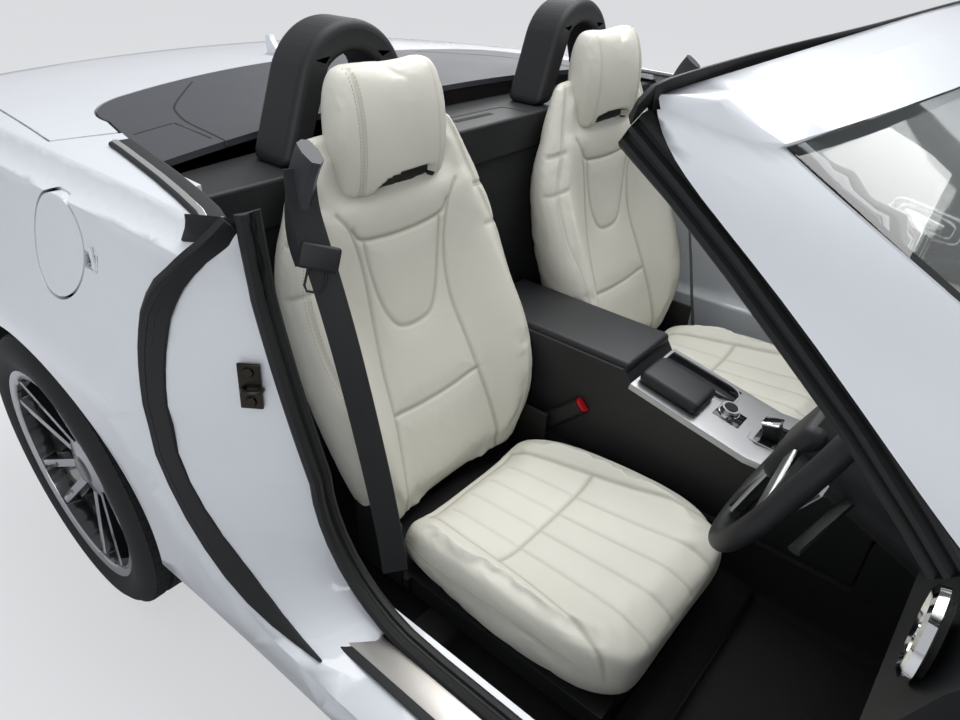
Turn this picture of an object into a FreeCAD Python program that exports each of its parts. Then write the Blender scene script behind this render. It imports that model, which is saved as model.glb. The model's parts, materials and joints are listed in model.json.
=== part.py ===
import FreeCAD, Part
import Sketcher
import math
import os

# A two-seat roadster with its folding roof stowed, in millimetres.
# X runs forward, Y to the left and Z up. While it is modelled, the centre plane is y = 0,
# the ground is z = 0 and x = 0 lies midway between nose and tail.

Vector = FreeCAD.Vector
doc = FreeCAD.newDocument("roadster")

# name, size, what it is
SIZES = [
    ("wheelbase", 2430, "front axle to rear axle"),
    ("front_axle_place", 1224, "front axle ahead of mid length"),
    ("front_track", 1559, "between front tyre middles"),
    ("rear_track", 1565, "between rear tyre middles"),
    ("front_tyre_radius", 318.6, "225/40 R18"),
    ("front_tyre_width", 225, "225/40 R18"),
    ("rear_tyre_radius", 314.3, "245/35 R18"),
    ("rear_tyre_width", 245, "245/35 R18"),
    ("rim_seat_radius", 228.6, "bead seat of an 18 inch rim"),
    ("rim_flange", 13, "flange above the bead seat"),
    ("front_rim_width", 204, "over the flanges"),
    ("rear_rim_width", 226, "over the flanges"),
    ("rim_wall", 7, "barrel thickness"),
    ("hub_face_offset", 50, "mounting face outboard of the rim middle"),
    ("spoke_depth", 38, "spoke thickness along the axle"),
    ("spoke_width", 19, "one leg of a twin spoke"),
    ("spoke_root_gap", 10, "between twin legs at the hub, from the middle"),
    ("spoke_tip_gap", 40, "between twin legs at the rim, from the middle"),
    ("hub_radius", 68, "wheel centre"),
    ("front_disc_radius", 165, "brake disc"),
    ("rear_disc_radius", 150, "brake disc"),
    ("disc_thickness", 24, "brake disc"),
    ("spindle_radius", 21, "wheel spindle"),
    ("running_clearance", 0.3, "round pins and spindles"),
    ("front_arch_radius", 352, "wheel opening"),
    ("rear_arch_radius", 348, "wheel opening"),
    ("kingpin_inset", 24, "steering axis inboard of the wheel middle"),
    ("ball_pin_radius", 8, "steering ball pins"),
    ("skin", 12, "wings, bumpers and quarters"),
    ("bonnet_thickness", 22, "bonnet skin and frame"),
    ("lid_thickness", 26, "boot lid skin and frame"),
    ("seam", 0.3, "between fixed panels"),
    ("panel_gap", 5, "round bonnet, lid and flap"),
    ("door_gap", 8, "round a door"),
    ("door_inner_face", 757, "inner face of a door from the centre plane"),
    ("door_trim_thickness", 20, "door lining"),
    ("door_opening", 62, "angle at which a door stands open"),
    ("door_hinge_x", 480, "door hinge axis ahead of mid length"),
    ("door_hinge_y", 842, "door hinge axis from the centre plane"),
    ("hinge_low", 420, "lower door hinge height"),
    ("hinge_high", 740, "upper door hinge height"),
    ("hinge_pin_radius", 6, "door hinge pin"),
    ("hinge_barrel_radius", 12, "door hinge barrel"),
    ("hinge_barrel_height", 24, "half a door hinge barrel"),
    ("sill_inner", 700, "inner face of a sill from the centre plane"),
    ("post_inner", 728, "inner face of the door posts from the centre plane"),
    ("floor_height", 165, "underside of the floor"),
    ("floor_thickness", 10, "floor plate"),
    ("tunnel_half_width", 108, "centre tunnel"),
    ("tunnel_height", 325, "top of the centre tunnel"),
    ("sheet", 8, "pressed inner panels"),
    ("boot_floor_height", 345, "underside of the boot floor"),
    ("seat_place", 357, "middle of a seat from the centre plane"),
    ("seat_width", 476, "seat cushion"),
    ("back_width", 568, "backrest at the shoulders"),
    ("headrest_width", 266, "headrest"),
    ("hoop_width", 336, "roll hoop outside"),
    ("hoop_top", 1182, "top of the roll hoops"),
    ("hoop_band", 52, "roll hoop thickness seen from the front"),
    ("hoop_depth", 98, "roll hoop thickness along the car"),
    ("steering_radius", 178, "steering wheel to the middle of its grip"),
    ("grip_radius", 15, "steering wheel grip"),
    ("flap_radius", 80, "fuel flap"),
    ("flap_x", -1038, "fuel flap middle"),
    ("flap_z", 866, "fuel flap middle"),
    ("engine_length", 620, "engine block with its covers"),
    ("engine_width", 460, "engine block with its covers"),
    ("engine_height", 480, "engine block with its covers"),
    ("jack_pad", 60, "side of a jacking pad"),
    ("jack_pad_height", 18, "depth of a jacking pad"),
]


class Size(float):
    """A number that also keeps the sheet formula that it comes from."""

    def __new__(cls, number, formula):
        size = float.__new__(cls, number)
        size.formula = formula
        return size

    def joined(self, sign, other, number, other_first=False):
        both = [formula_of(self), formula_of(other)]
        if other_first:
            both.reverse()
        return Size(number, "(%s %s %s)" % (both[0], sign, both[1]))

    def __add__(self, other):
        return self.joined("+", other, float(self) + float(other))

    def __radd__(self, other):
        return self.joined("+", other, float(self) + float(other), True)

    def __sub__(self, other):
        return self.joined("-", other, float(self) - float(other))

    def __rsub__(self, other):
        return self.joined("-", other, float(other) - float(self), True)

    def __mul__(self, other):
        return self.joined("*", other, float(self) * float(other))

    def __rmul__(self, other):
        return self.joined("*", other, float(self) * float(other), True)

    def __truediv__(self, other):
        return self.joined("/", other, float(self) / float(other))

    def __neg__(self):
        return Size(-float(self), "(0 - %s)" % self.formula)


def formula_of(number):
    return getattr(number, "formula", repr(float(number)))


sheet = doc.addObject("Spreadsheet::Sheet", "Sizes")
for row, (alias, number, note) in enumerate(SIZES, start=1):
    sheet.set("A%d" % row, note)
    sheet.set("B%d" % row, str(number))
    sheet.setAlias("B%d" % row, alias)
doc.recompute()
size = {alias: Size(number, "Sizes." + alias) for alias, number, note in SIZES}

seam = size["seam"]
gap = size["panel_gap"]
door_gap = size["door_gap"]
skin = size["skin"]
sheet_metal = size["sheet"]
running = size["running_clearance"]
front_axle_x = size["front_axle_place"]
rear_axle_x = front_axle_x - size["wheelbase"]
far = 2600

parts = {}


def keep(label, shape):
    """Stores the finished shape of a sub-part as an object of the document."""
    feature = doc.addObject("Part::Feature", label)
    feature.Label = label
    feature.Shape = shape
    parts[label] = feature
    return feature


# Outlines and plain solids

def wire_of(steps, place):
    """A closed wire: a step of two numbers is a corner, and one of four is an arc's end and middle."""
    points = [place(step[0], step[1]) for step in steps]
    edges = []
    for index, step in enumerate(steps):
        start = points[index - 1]
        end = points[index]
        if start.distanceToPoint(end) < 1e-6:
            continue
        if len(step) == 4:
            edges.append(Part.Arc(start, place(step[2], step[3]), end).toShape())
        else:
            edges.append(Part.LineSegment(start, end).toShape())
    return Part.Wire(edges)


def side_prism(steps, low, high):
    """An outline in side view, x and z, drawn out from y = low to y = high."""
    face = Part.Face(wire_of(steps, lambda x, z: Vector(x, low, z)))
    return face.extrude(Vector(0, high - low, 0))


def plan_prism(steps, low, high):
    """An outline in plan, x and y, drawn up from z = low to z = high."""
    face = Part.Face(wire_of(steps, lambda x, y: Vector(x, y, low)))
    return face.extrude(Vector(0, 0, high - low))


def front_prism(steps, low, high):
    """An outline seen from the front, y and z, drawn from x = low to x = high."""
    face = Part.Face(wire_of(steps, lambda y, z: Vector(low, y, z)))
    return face.extrude(Vector(high - low, 0, 0))


def block(x_low, x_high, y_low, y_high, z_low, z_high):
    """A box between three pairs of limits."""
    return Part.makeBox(x_high - x_low, y_high - y_low, z_high - z_low, Vector(x_low, y_low, z_low))


def rod(start, end, radius):
    """A round bar from one point to another."""
    return Part.makeCylinder(radius, (end - start).Length, start, end - start)


def mirrored(shape):
    """The left-hand twin of a right-hand piece."""
    return shape.mirror(Vector(0, 0, 0), Vector(0, 1, 0))


def fused(first, *others):
    return first.fuse(list(others)).removeSplitter()


def both_sides(shape):
    return Part.makeCompound([shape, mirrored(shape)])


def largest(shape):
    """The main solid of a cut that leaves crumbs."""
    return max(shape.Solids, key=lambda solid: solid.Volume)


# The body's outer form: cross-sections along the car, then plan outlines that round off nose and tail.
# x | under y, z | rocker y, z | crease y, z | shoulder y, z | deck edge y, z | crown z
STATIONS = [
    (-2120, 640, 240, 760, 340, 800, 650, 738, 890, 686, 932, 958),
    (-1850, 720, 200, 845, 310, 872, 670, 795, 918, 742, 960, 992),
    (-1500, 760, 180, 885, 300, 902, 690, 815, 936, 765, 976, 1008),
    (-1206, 780, 172, 895, 300, 905, 700, 822, 943, 770, 983, 1010),
    (-850, 780, 170, 880, 300, 893, 690, 808, 940, 758, 978, 1002),
    (-400, 780, 168, 866, 300, 872, 670, 792, 925, 746, 958, 988),
    (100, 780, 168, 860, 300, 866, 655, 788, 905, 744, 936, 972),
    (560, 780, 168, 863, 300, 872, 650, 793, 885, 742, 918, 962),
    (900, 785, 170, 880, 300, 890, 645, 802, 855, 745, 892, 940),
    (1224, 790, 175, 890, 300, 900, 640, 798, 825, 738, 865, 905),
    (1600, 770, 185, 872, 300, 880, 600, 768, 768, 705, 808, 848),
    (1850, 740, 200, 838, 310, 845, 560, 728, 708, 660, 750, 792),
    (2120, 680, 225, 775, 320, 785, 500, 655, 622, 600, 668, 708),
]
# how far each side arc stands out from its chord
LOWER_BULGE = 7
UPPER_BULGE = 12
SHOULDER_BULGE = 7

# z | nose x | tail x
PLAN_LEVELS = [
    (60, 1968, -1935),
    (350, 2052, -2022),
    (540, 2067, -2052),
    (740, 2040, -2067),
    (1120, 1850, -2000),
]
NOSE_CORNER = (100, 620)
NOSE_SIDE = (1480, 965)
TAIL_CORNER = (80, 690)
TAIL_SIDE = (-1660, 965)
CORNER_BULGE = 52


def bulged(start, end, bulge):
    """The middle of an arc between two points of a section, standing out from their chord."""
    along = (end - start).normalize()
    out = Vector(0, -along.z, along.y) if start.y < 0 else Vector(0, along.z, -along.y)
    return (start + end) * 0.5 + out * bulge


def body_section(station, inset):
    """One closed cross-section of lines and arcs, a wall thickness inside the outer form."""
    (x, under_y, under_z, rocker_y, rocker_z, crease_y, crease_z,
     shoulder_y, shoulder_z, deck_y, deck_z, crown_z) = station
    half = [
        (under_y - 0.4 * inset, under_z + inset),
        (rocker_y - inset, rocker_z + 0.3 * inset),
        (crease_y - inset, crease_z),
        (shoulder_y - 0.9 * inset, shoulder_z - 0.45 * inset),
        (deck_y - 0.45 * inset, deck_z - 0.9 * inset),
    ]
    bulges = [0, LOWER_BULGE, UPPER_BULGE, SHOULDER_BULGE]
    right = [Vector(x, -y, z) for y, z in half]
    left = [Vector(x, y, z) for y, z in half]
    edges = [Part.LineSegment(left[0], right[0]).toShape()]
    for start, end, bulge in zip(right, right[1:], bulges):
        if bulge:
            edges.append(Part.Arc(start, bulged(end, start, bulge), end).toShape())
        else:
            edges.append(Part.LineSegment(start, end).toShape())
    edges.append(Part.Arc(right[-1], Vector(x, 0, crown_z - inset), left[-1]).toShape())
    for start, end, bulge in zip(left[::-1], left[-2::-1], bulges[::-1]):
        if bulge:
            edges.append(Part.Arc(start, bulged(start, end, bulge), end).toShape())
        else:
            edges.append(Part.LineSegment(start, end).toShape())
    return Part.Wire(edges)


def plan_section(level, inset):
    """One closed plan outline of the body at a height, a wall thickness inside the outer form."""
    z, nose, tail = level
    nose = nose - inset
    tail = tail + inset
    nose_x, nose_y = nose - NOSE_CORNER[0], NOSE_CORNER[1] - inset
    tail_x, tail_y = tail + TAIL_CORNER[0], TAIL_CORNER[1] - inset
    side_x, side_y = NOSE_SIDE[0] - inset, NOSE_SIDE[1] - inset
    back_x, back_y = TAIL_SIDE[0] + inset, TAIL_SIDE[1] - inset
    nose_mid = ((nose_x + side_x) / 2 + CORNER_BULGE, (nose_y + side_y) / 2 + CORNER_BULGE)
    tail_mid = ((tail_x + back_x) / 2 - CORNER_BULGE, (tail_y + back_y) / 2 + CORNER_BULGE)
    steps = [
        (nose_x, -nose_y, nose, 0),
        (side_x, -side_y, nose_mid[0], -nose_mid[1]),
        (back_x, -back_y),
        (tail_x, -tail_y, tail_mid[0], -tail_mid[1]),
        (tail_x, tail_y, tail, 0),
        (back_x, back_y, tail_mid[0], tail_mid[1]),
        (side_x, side_y),
        (nose_x, nose_y, nose_mid[0], nose_mid[1]),
    ]
    return wire_of(steps, lambda x, y: Vector(x, y, z))


def body_form(inset):
    """The solid inside the body's outer form, or inside its walls."""
    along = Part.makeLoft([body_section(station, inset) for station in STATIONS], True, False)
    ends = Part.makeLoft([plan_section(level, inset) for level in PLAN_LEVELS], True, False)
    return largest(along.common(ends))


body_outside = body_form(0)
body_in_skin = body_form(skin)
body_in_sheet = body_form(sheet_metal)
skin_shell = body_outside.cut(body_in_skin)


# Where the panels meet, as outlines in side view or in plan, for the right-hand side

def door_side(inner, grow):
    """The door's outline in side view at its outer skin or at its inner face; grow widens the opening."""
    if inner:
        return [
            (520 + grow, 1060), (520 + grow, 372 - grow), (-330 - grow, 372 - grow),
            (-545 - grow, 600, -478 - grow, 436 - grow * 0.7),
            (-628 - grow, 880, -592 - grow, 738), (-642 - grow, 1060),
        ]
    return [
        (528 + grow, 1060), (570 + grow, 362 - grow), (-500 - grow, 362 - grow),
        (-845 - grow, 680, -770 - grow, 470 - grow * 0.7),
        (-730 - grow, 966, -825 - grow, 850), (-641 - grow, 1006, -690 - grow, 992), (-638 - grow, 1060),
    ]


DOOR_OUTER_PLANE = 905


def door_volume(grow):
    """The tapered hole of a right-hand door, wide at the skin and narrow at the posts."""
    outer = wire_of(door_side(False, grow), lambda x, z: Vector(x, -DOOR_OUTER_PLANE, z))
    inner = wire_of(door_side(True, grow), lambda x, z: Vector(x, -size["post_inner"], z))
    cabin_end = size["post_inner"] - 200
    through = side_prism(door_side(True, grow), -size["post_inner"], -cabin_end)
    return Part.makeLoft([outer, inner], True, True).fuse(through)


def arch(axle_x, axle_z, radius, low, high):
    """The round opening over a wheel."""
    return Part.makeCylinder(radius, high - low, Vector(axle_x, low, axle_z), Vector(0, 1, 0))


front_arch = arch(front_axle_x, size["front_tyre_radius"], size["front_arch_radius"], -far, -600)
rear_arch = arch(rear_axle_x, size["rear_tyre_radius"], size["rear_arch_radius"], -far, -600)

# bonnet, boot lid, cover and scuttle, as half outlines in plan: x, distance from the centre plane
BONNET_REAR_MIDDLE = 735
BONNET_REAR_SIDE = 590
BONNET_FRONT_MIDDLE = 2000
BONNET_FRONT_SIDE = 1890
BONNET_HALF_REAR = 700
BONNET_HALF_FRONT = 600
COVER_FRONT_MIDDLE = -1005
COVER_FRONT_SIDE = -950
COVER_FRONT_Y = 688
COVER_WAIST_X = -1141
COVER_WAIST_Y = 648
COVER_CORNER_X = -1228
COVER_CORNER_Y = 628
COVER_BEND_X = -1405
COVER_BEND_Y = 505
COVER_REAR_MIDDLE = -1494
LID_WAIST_X = -1150
LID_SIDE_FRONT_X = -1196
LID_SIDE_FRONT_Y = 748
LID_SIDE_REAR_Y = 650


def bonnet_plan(grow):
    """The bonnet's outline, with its rear edge curved round the windscreen."""
    rear_y, front_y = BONNET_HALF_REAR + grow, BONNET_HALF_FRONT + grow
    rear_x, front_x = BONNET_REAR_SIDE - grow, BONNET_FRONT_SIDE + grow
    return [
        (front_x, -front_y), (rear_x, -rear_y), (rear_x, rear_y, BONNET_REAR_MIDDLE - grow, 0),
        (front_x, front_y), (front_x, -front_y, BONNET_FRONT_MIDDLE + grow, 0),
    ]


def cover_plan(grow):
    """The dark cover behind the seats, which reaches back into the boot lid in one curve."""
    waist_y, front_y, front_x = COVER_WAIST_Y + grow, COVER_FRONT_Y + grow, COVER_FRONT_SIDE + grow
    corner_y, corner_x = COVER_CORNER_Y + grow, COVER_CORNER_X - grow * 0.3
    bend_y, bend_x = COVER_BEND_Y + grow * 0.7, COVER_BEND_X - grow * 0.7
    swell_x, swell_y = -1346 - grow * 0.7, 592 + grow * 0.7
    return [
        (front_x, -front_y), (COVER_WAIST_X, -waist_y), (corner_x, -corner_y),
        (bend_x, -bend_y, swell_x, -swell_y), (bend_x, bend_y, COVER_REAR_MIDDLE - grow, 0),
        (corner_x, corner_y, swell_x, swell_y), (COVER_WAIST_X, waist_y), (front_x, front_y),
        (front_x, -front_y, COVER_FRONT_MIDDLE + grow, 0),
    ]


def lid_plan(grow):
    """The boot lid's outline round the cover's rear edge."""
    return [
        (LID_WAIST_X + 2 * grow, -COVER_WAIST_Y), (LID_SIDE_FRONT_X + grow, -LID_SIDE_FRONT_Y - grow),
        (-2120, -LID_SIDE_REAR_Y - grow), (-2120, LID_SIDE_REAR_Y + grow),
        (LID_SIDE_FRONT_X + grow, LID_SIDE_FRONT_Y + grow), (LID_WAIST_X + 2 * grow, COVER_WAIST_Y),
    ]


# lamps in side view and plan
LAMP_BOTTOM = 585
BUMPER_TOP = 745
TAIL_LAMP_LOW = BUMPER_TOP
TAIL_LAMP_HIGH = 862


def headlamp_space(grow):
    side = side_prism([
        (1640 - grow, 640 - grow), (1640 - grow, 660 + grow), (1790, 742 + grow), (2150, 742 + grow),
        (2150, LAMP_BOTTOM - grow), (1830, LAMP_BOTTOM - grow),
    ], -far, -440)
    plan = plan_prism([
        (1600, -960), (2150, -960), (2150, -470 + grow), (1880, -585 + grow), (1600, -700 + grow),
    ], 300, 1000)
    return side.common(plan)


def tail_lamp_space(grow):
    side = side_prism([
        (-1730 + 1.74 * grow, 842), (-1760 + grow, TAIL_LAMP_HIGH + grow), (-2150, TAIL_LAMP_HIGH + grow),
        (-2150, TAIL_LAMP_LOW - grow), (-1860 + grow / 3, TAIL_LAMP_LOW - grow),
    ], -far, -430 + grow)
    return side


# Outer panels

bonnet_inside = body_form(size["bonnet_thickness"])
lid_inside = body_form(size["lid_thickness"])
lamp_inside = body_form(40)

headlamp_right = body_outside.cut(lamp_inside).common(headlamp_space(0))
headlamp_right = headlamp_right.cut(plan_prism(bonnet_plan(gap), 300, 1200))
headlamp_right = largest(headlamp_right)
keep("headlamps", both_sides(headlamp_right))

tail_lamp_right = largest(body_outside.cut(lamp_inside).common(tail_lamp_space(0)))
keep("tail_lamps", both_sides(tail_lamp_right))

bonnet_panel = body_outside.cut(bonnet_inside).common(plan_prism(bonnet_plan(0), 600, 1200))
bonnet_panel = largest(bonnet_panel)

WING_REAR_PLANE = door_side(False, size["door_gap"])
BUMPER_SPLIT_X = 1588
BUMPER_STEP_X = 1705
BUMPER_STEP_Z = 640
SILL_TOP = 362
wing_space = side_prism([
    (570 + door_gap, SILL_TOP + seam), (527 + door_gap, 1060), (505, 1200), (BUMPER_STEP_X, 1200),
    (BUMPER_STEP_X, BUMPER_STEP_Z), (BUMPER_SPLIT_X, BUMPER_STEP_Z), (BUMPER_SPLIT_X, 200),
    (880, 200), (880, SILL_TOP + seam),
], -far, 0)
wing_right = skin_shell.common(wing_space).cut([
    front_arch, plan_prism(bonnet_plan(gap), 300, 1200), headlamp_space(seam),
    plan_prism([(300, -700), (BONNET_REAR_SIDE, -700), (BONNET_REAR_SIDE, 10), (300, 10)], 500, 1200),
])
wing_right = largest(wing_right)

front_bumper_space = side_prism([
    (BUMPER_SPLIT_X + seam, 100), (BUMPER_SPLIT_X + seam, BUMPER_STEP_Z - seam),
    (BUMPER_STEP_X + seam, BUMPER_STEP_Z - seam), (BUMPER_STEP_X + seam, 1200), (2200, 1200), (2200, 100),
], -far, far)
# the mouth and the two side intakes, seen from the front
MOUTH = [(-430, 560), (-500, 470), (-470, 345), (470, 345), (500, 470), (430, 560)]
INTAKE = [(-560, 400), (-700, 430), (-690, 300), (-545, 285)]
mouth_hole = front_prism(MOUTH, 1700, 2200)
intake_hole = front_prism(INTAKE, 1640, 2200)
front_bumper = skin_shell.common(front_bumper_space).cut([
    plan_prism(bonnet_plan(gap), 300, 1200), headlamp_space(seam), mirrored(headlamp_space(seam)),
    front_arch, mirrored(front_arch), mouth_hole, intake_hole, mirrored(intake_hole),
])
front_bumper = largest(front_bumper)
keep("front_bumper", front_bumper)

REAR_SPLIT_X = -1580
rear_bumper_space = side_prism([
    (REAR_SPLIT_X - seam, 100), (REAR_SPLIT_X - seam, BUMPER_TOP - seam),
    (-2200, BUMPER_TOP - seam), (-2200, 100),
], -far, far)
rear_bumper = skin_shell.common(rear_bumper_space)
TAIL_PIPE_Y = 350
TAIL_PIPE_Z = 236
under_opening = block(-2008, REAR_SPLIT_X + 10, -600, 600, 100, 330)
pipe_cuts = [
    block(-2200, -1990, sign * TAIL_PIPE_Y - 62, sign * TAIL_PIPE_Y + 62, 100, TAIL_PIPE_Z + 52)
    for sign in (-1, 1)
]
rear_bumper = rear_bumper.cut([rear_arch, mirrored(rear_arch), under_opening] + pipe_cuts)
rear_bumper = largest(rear_bumper)
keep("rear_bumper", rear_bumper)

lid_space = plan_prism(lid_plan(0), BUMPER_TOP + gap, 1200)
lid_space = lid_space.cut(plan_prism(cover_plan(gap), 600, 1200))
lid_panel = body_outside.cut(lid_inside).common(lid_space)
lid_panel = largest(lid_panel.cut([tail_lamp_space(gap), mirrored(tail_lamp_space(gap))]))

cover = body_outside.cut(body_in_skin).common(plan_prism(cover_plan(0), 850, 1200))
cover = largest(cover)
keep("tonneau_cover", cover)


# Inner structure: the panels and rails that carry the skins

under_skin = body_form(skin + seam)
rail_layer = under_skin.cut(body_form(skin + seam + sheet_metal))
SILL_FRONT = 850
SILL_REAR = -835
SILL_PLATE_TOP = 372
FIREWALL_X = 690
CABIN_REAR_X = -830
SHELF_BOTTOM = 880
SHELF_TOP = 962
SHELF_FRONT = -821.7
front_house = size["front_arch_radius"] + 6
rear_house = size["rear_arch_radius"] + 9


def wheelhouse(axle_x, axle_z, inside, wall_y):
    """A round wheel box between the skin and an inner wall, open below, for the right-hand side."""
    outside = inside + sheet_metal
    drum = arch(axle_x, axle_z, outside, -far, -wall_y + sheet_metal)
    hollow = arch(axle_x, axle_z, inside, -far, -wall_y)
    above = block(-far, far, -far, far, 200, far)
    return drum.cut(hollow).common(above).common(under_skin)


FRONT_WALL_Y = 492
REAR_WALL_Y = 640
LEG_OUTER_Y = 484
LEG_INNER_Y = 420
LEG_LOW = 330
LEG_HIGH = 440
INNER_WING_Y = 712
front_z = size["front_tyre_radius"]
rear_z = size["rear_tyre_radius"]
house_right = wheelhouse(front_axle_x, front_z, front_house, FRONT_WALL_Y)
arm_window = block(front_axle_x - 95, front_axle_x + 95, -far, -LEG_INNER_Y + 60, 100, 480)
inner_wing = block(FIREWALL_X + 20, 1700, -INNER_WING_Y - sheet_metal, -INNER_WING_Y, 450, far)
inner_wing = inner_wing.common(under_skin)
wheel_room = arch(front_axle_x, front_z, front_house, -far, -FRONT_WALL_Y)
wing_rail = rail_layer.common(block(FIREWALL_X + 20, 1700, -760, -INNER_WING_Y, 600, far))
inner_wing = fused(inner_wing, wing_rail).cut([
    wheel_room, headlamp_space(seam), plan_prism(bonnet_plan(gap), 300, far),
])
leg = block(FIREWALL_X + sheet_metal + seam, 1900, -LEG_OUTER_Y - 1, -LEG_INNER_Y, LEG_LOW, LEG_HIGH)
shelf = block(FIREWALL_X + 20, 1700, -INNER_WING_Y - 1, -LEG_INNER_Y, LEG_HIGH - sheet_metal, LEG_HIGH)
shelf = shelf.cut(arch(front_axle_x, front_z, front_house, -far, far))
front_side = fused(house_right, largest(inner_wing), leg, shelf).cut(arm_window)
front_side = largest(front_side.cut(arch(front_axle_x, front_z, front_house, -far, -FRONT_WALL_Y)))
nose_beam = block(1840, 1900, -LEG_INNER_Y, LEG_INNER_Y, LEG_LOW, LEG_HIGH)
radiator = block(1800, 1841, -330, 330, 300, 640)
keep("front_structure", largest(fused(front_side, mirrored(front_side), nose_beam, radiator)))

# the scuttle's underside carries the bonnet hinges
HINGE_BONNET = Vector(558, 640, 903)
HINGE_LID = Vector(-1060, 662, 955)
LUG_HALF = 9
hinge_x = size["door_hinge_x"]
hinge_y = size["door_hinge_y"]
hinge_relief = Part.makeCylinder(108, far, Vector(hinge_x, -hinge_y, 0))
front_post = block(432, 640, -785, -size["sill_inner"], SILL_PLATE_TOP + seam, far).common(under_skin)
front_post = largest(front_post.cut(hinge_relief))
firewall = block(FIREWALL_X, FIREWALL_X + sheet_metal, -size["sill_inner"], size["sill_inner"],
                 size["floor_height"] + size["floor_thickness"] + seam, 858)
firewall_link = block(630, FIREWALL_X + 1, -785, -size["sill_inner"] + 1, SILL_PLATE_TOP + 30, 858)
firewall_link = firewall_link.common(under_skin)
cowl = block(450, FIREWALL_X + 1, -size["sill_inner"], size["sill_inner"], 850, 858)
bonnet_bracket = block(HINGE_BONNET.x - 16, HINGE_BONNET.x + 16, -HINGE_BONNET.y - 20,
                       -HINGE_BONNET.y - LUG_HALF - seam, 850, HINGE_BONNET.z + 10)
bonnet_pin = rod(Vector(HINGE_BONNET.x, -HINGE_BONNET.y - 15, HINGE_BONNET.z),
                 Vector(HINGE_BONNET.x, -HINGE_BONNET.y + LUG_HALF, HINGE_BONNET.z), 5)


def door_hinge(height):
    """Body half of a door hinge: a leaf off the post, a lower barrel and the pin."""
    barrel_height = size["hinge_barrel_height"]
    leaf = block(hinge_x - 6, hinge_x + 6, -hinge_y, -size["sill_inner"] - 20, height - barrel_height, height)
    barrel = Part.makeCylinder(size["hinge_barrel_radius"], barrel_height,
                               Vector(hinge_x, -hinge_y, height - barrel_height))
    pin = Part.makeCylinder(size["hinge_pin_radius"], 2 * barrel_height,
                            Vector(hinge_x, -hinge_y, height - barrel_height))
    return fused(leaf, barrel, pin)


hinges = [door_hinge(size["hinge_low"]), door_hinge(size["hinge_high"])]
bulkhead_side = fused(front_post, firewall_link, bonnet_bracket, bonnet_pin, *hinges)
bulkhead = largest(fused(firewall, cowl, bulkhead_side, mirrored(bulkhead_side)))
keep("front_bulkhead", bulkhead)

floor_low = size["floor_height"]
floor_top = floor_low + size["floor_thickness"]
tunnel_y = size["tunnel_half_width"]
sill_y = size["sill_inner"]
floor = block(CABIN_REAR_X + seam, FIREWALL_X - seam, -sill_y + seam, sill_y - seam, floor_low, floor_top)
tunnel_outer = block(CABIN_REAR_X + seam, FIREWALL_X - seam, -tunnel_y, tunnel_y, floor_low,
                     size["tunnel_height"])
tunnel_inner = block(-far, far, -tunnel_y + sheet_metal, tunnel_y - sheet_metal, 0,
                     size["tunnel_height"] - sheet_metal)
CROSS_MEMBERS = [(-90, -20), (-470, -400)]
CROSS_TOP = 215
crosses = [block(low, high, -sill_y + seam, sill_y - seam, floor_low, CROSS_TOP) for low, high in CROSS_MEMBERS]
pad = size["jack_pad"]
floor_pan = fused(floor, tunnel_outer, *crosses).cut(tunnel_inner)
keep("floor_pan", largest(floor_pan))

house_rear = wheelhouse(rear_axle_x, rear_z, rear_house, REAR_WALL_Y)
boot_low = size["boot_floor_height"]
boot_floor = block(-1960, CABIN_REAR_X - 1, -700, 700, boot_low, boot_low + sheet_metal)
boot_floor = boot_floor.common(under_skin)
boot_floor = boot_floor.cut([
    arch(rear_axle_x, rear_z, rear_house, -far, -REAR_WALL_Y),
    arch(rear_axle_x, rear_z, rear_house, REAR_WALL_Y, far),
])
rear_wall_low = block(CABIN_REAR_X - sheet_metal, CABIN_REAR_X, -sill_y + seam, sill_y - seam,
                      floor_low, SILL_PLATE_TOP + seam)
rear_wall_low = rear_wall_low.cut(block(-far, far, -60, 60, 0, 270))
rear_wall = block(CABIN_REAR_X - sheet_metal, CABIN_REAR_X, -size["post_inner"] + seam,
                  size["post_inner"] - seam, SILL_PLATE_TOP + seam, SHELF_BOTTOM - seam)
tail_panel = block(-1968, -1960, -600, 600, boot_low, 720).common(under_skin)
lid_bracket = block(HINGE_LID.x - 16, HINGE_LID.x + 16, -HINGE_LID.y - 20, -HINGE_LID.y - LUG_HALF - seam,
                    600, HINGE_LID.z + 10)
lid_bracket = lid_bracket.cut(arch(rear_axle_x, rear_z, rear_house, -far, -REAR_WALL_Y))
lid_pin = rod(Vector(HINGE_LID.x, -HINGE_LID.y - 15, HINGE_LID.z),
              Vector(HINGE_LID.x, -HINGE_LID.y + LUG_HALF, HINGE_LID.z), 5)
tub_side = fused(house_rear, lid_bracket, lid_pin)
tub = fused(boot_floor, rear_wall_low, rear_wall, tail_panel, tub_side, mirrored(tub_side))
tub = tub.cut(block(rear_axle_x - 160, rear_axle_x + 160, -REAR_WALL_Y - 20, REAR_WALL_Y + 20, 100, boot_low))
keep("rear_tub", largest(tub))


# Side of the body: quarter, lock post and sill in one, round the door opening

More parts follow.
